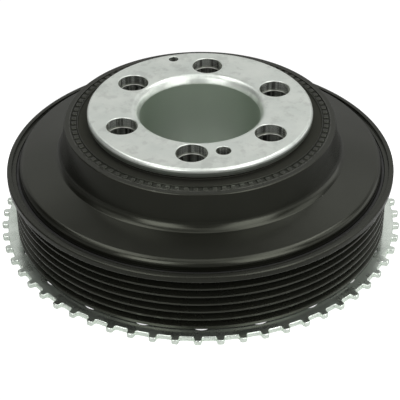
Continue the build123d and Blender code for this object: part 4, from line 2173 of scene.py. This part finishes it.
@dataclass
class Studio:
    """White room with soft boxes, and the camera."""

    WHITE = (1.0, 1.0, 1.0, 1.0)

    soft_boxes: tuple[SoftBox, ...] = (
        SoftBox("top_middle", -90.0, 89.0, 0.45, 0.8, 0.85),
        SoftBox("top_left", 172.0, 66.0, 0.9, 0.42, 2.1),
        SoftBox("top_right", 8.0, 66.0, 0.9, 0.42, 2.1),
        SoftBox("back_right_top", 30.0, 55.0, 0.35, 0.3, 1.0),
        SoftBox("front_left", 239.0, 31.0, 0.5, 0.68, 2.9),
        SoftBox("front_right", -51.0, 30.0, 0.62, 0.65, 2.5),
        SoftBox("front_right_top", -50.0, 54.0, 0.5, 0.3, 1.8),
        SoftBox("right_side", 2.0, 40.0, 0.5, 0.5, 1.0),
        SoftBox("left_side", 195.0, 42.0, 0.5, 0.4, 0.5),
        SoftBox("front_top", -90.0, 52.0, 0.5, 0.4, 0.6),
    )
    walls: tuple[Wall, ...] = (
        Wall(90.0, 53.0, -90.0, 15.0, 0.4),
        Wall(90.0, 53.0, 15.0, 30.0, 0.60),
        Wall(90.0, 53.0, 30.0, 44.0, 0.46),
        Wall(90.0, 53.0, 44.0, 60.0, 0.17),
        Wall(70.0, 16.0, 32.0, 50.0, 0.76),
        Wall(110.0, 14.0, 30.0, 44.0, 0.64),
        Wall(20.0, 20.0, -90.0, 22.0, 1.0),
        Wall(20.0, 20.0, 22.0, 44.0, 0.15),
        Wall(160.0, 20.0, -90.0, 22.0, 0.15),
        Wall(-28.5, 31.5, -90.0, 22.0, 0.65),
        Wall(210.0, 30.0, -90.0, 22.0, 0.3),
        Wall(-90.0, 30.0, -90.0, 30.0, 0.2),
    )
    floor_size: float = 6.0
    # The floor is lighter near the object than beyond floor_far_reach: a painted pool of light for the
    # metal's lower edges to reflect.
    floor_painted_light: float = 0.80
    floor_far: float = 0.28
    floor_painted_light_reach: float = 0.088
    floor_far_reach: float = 0.120
    floor_glow: float = 0.80
    floor_roughness: float = 0.9
    eye: Point3 = (-0.0002, -0.45624, 0.32915)
    forward: Point3 = (0.0, 0.817598, -0.575789)
    upward: Point3 = (0.006837, 0.575776, 0.817579)
    lens: float = 121.37
    sensor_width: float = 36.0
    clip_range: Point = (0.01, 50.0)

    def build(self, floor_height: float) -> None:
        """Lay the floor, light the room and set the camera.

        Args:
            floor_height: Where the object stands, in metres.
        """
        self._floor(floor_height)
        self._paint_walls()
        for soft_box in self.soft_boxes:
            soft_box.hang()
        self._camera()
        bpy.context.scene.view_settings.view_transform = "Standard"

    def _floor(self, height: float) -> None:
        """Lay the pale floor, which looks white and keeps a faint shadow; it is coloured lighter near the
        object, a painted pool of light that the metal's edges reflect.

        Args:
            height: Where it lies, in metres.
        """
        half = self.floor_size / 2
        corners = [(x, y, height) for x, y in ((-half, -half), (half, -half), (half, half), (-half, half))]
        mesh = bpy.data.meshes.new("floor")
        mesh.from_pydata(corners, [], [(0, 1, 2, 3)])
        floor = add_object("floor", mesh)
        material = new_material("floor")
        sheet = Sheet(material.node_tree)
        place = sheet.node("ShaderNodeTexCoord").outputs["Object"]
        radius, _ = sheet.radius_and_height(place)
        # Lighter near the object: a painted pool of light.
        reaches = (self.floor_painted_light_reach, self.floor_far_reach, self.floor_painted_light, self.floor_far)
        in_sight = sheet.node("ShaderNodeLightPath").outputs["Is Camera Ray"]
        inputs = {
            "Base Color": sheet.ramp(radius, *reaches),
            "Roughness": self.floor_roughness,
            "Specular IOR Level": 0.0,
            "Emission Color": self.WHITE,
            "Emission Strength": sheet.math("MULTIPLY", in_sight, self.floor_glow),
        }
        sheet.feed(sheet.tree.nodes["Principled BSDF"], inputs)
        floor.data.materials.append(material)
        floor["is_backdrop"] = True

    def _paint_walls(self) -> None:
        """Light the room with its walls, which look white to the camera."""
        world = bpy.data.worlds.new("room")
        world.use_nodes = True
        bpy.context.scene.world = world
        sheet = Sheet(world.node_tree)
        x, y, z = sheet.split(sheet.node("ShaderNodeTexCoord").outputs["Generated"])
        around, above = sheet.math("ARCTAN2", y, x), sheet.math("ARCSINE", z)
        room = sheet.node("ShaderNodeLightPath").outputs["Is Camera Ray"]
        for wall in self.walls:
            room = sheet.math("MAXIMUM", room, wall.light(sheet, around, above))
        sheet.feed(sheet.tree.nodes["Background"], {"Color": self.WHITE, "Strength": room})

    def _camera(self) -> None:
        """Set the camera."""
        camera = bpy.data.cameras.new("camera")
        camera.lens = self.lens
        camera.sensor_width = self.sensor_width
        camera.clip_start, camera.clip_end = self.clip_range
        stand = bpy.data.objects.new("camera", camera)
        forward = Vector(self.forward).normalized()
        upward = Vector(self.upward).normalized()
        right = forward.cross(upward).normalized()
        turn = Matrix((right, right.cross(forward), -forward)).transposed()
        stand.matrix_world = Matrix.Translation(self.eye) @ turn.to_4x4()
        bpy.context.scene.collection.objects.link(stand)
        bpy.context.scene.camera = stand


def main() -> None:
    """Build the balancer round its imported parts."""
    logging.basicConfig(level=logging.INFO, format="%(message)s")
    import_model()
    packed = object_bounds()
    shop = Workshop()
    for assembly in (HubSleeve(), Carrier(), RearHub(), InnerRings(), BeltRing(), TriggerWheel()):
        for piece in assembly.build(shop):
            LOG.info("%s: %s, %d faces", type(assembly).__name__, piece.name, len(piece.data.polygons))
    Studio().build(packed[0][2])


if __name__ == "__main__":
    main()
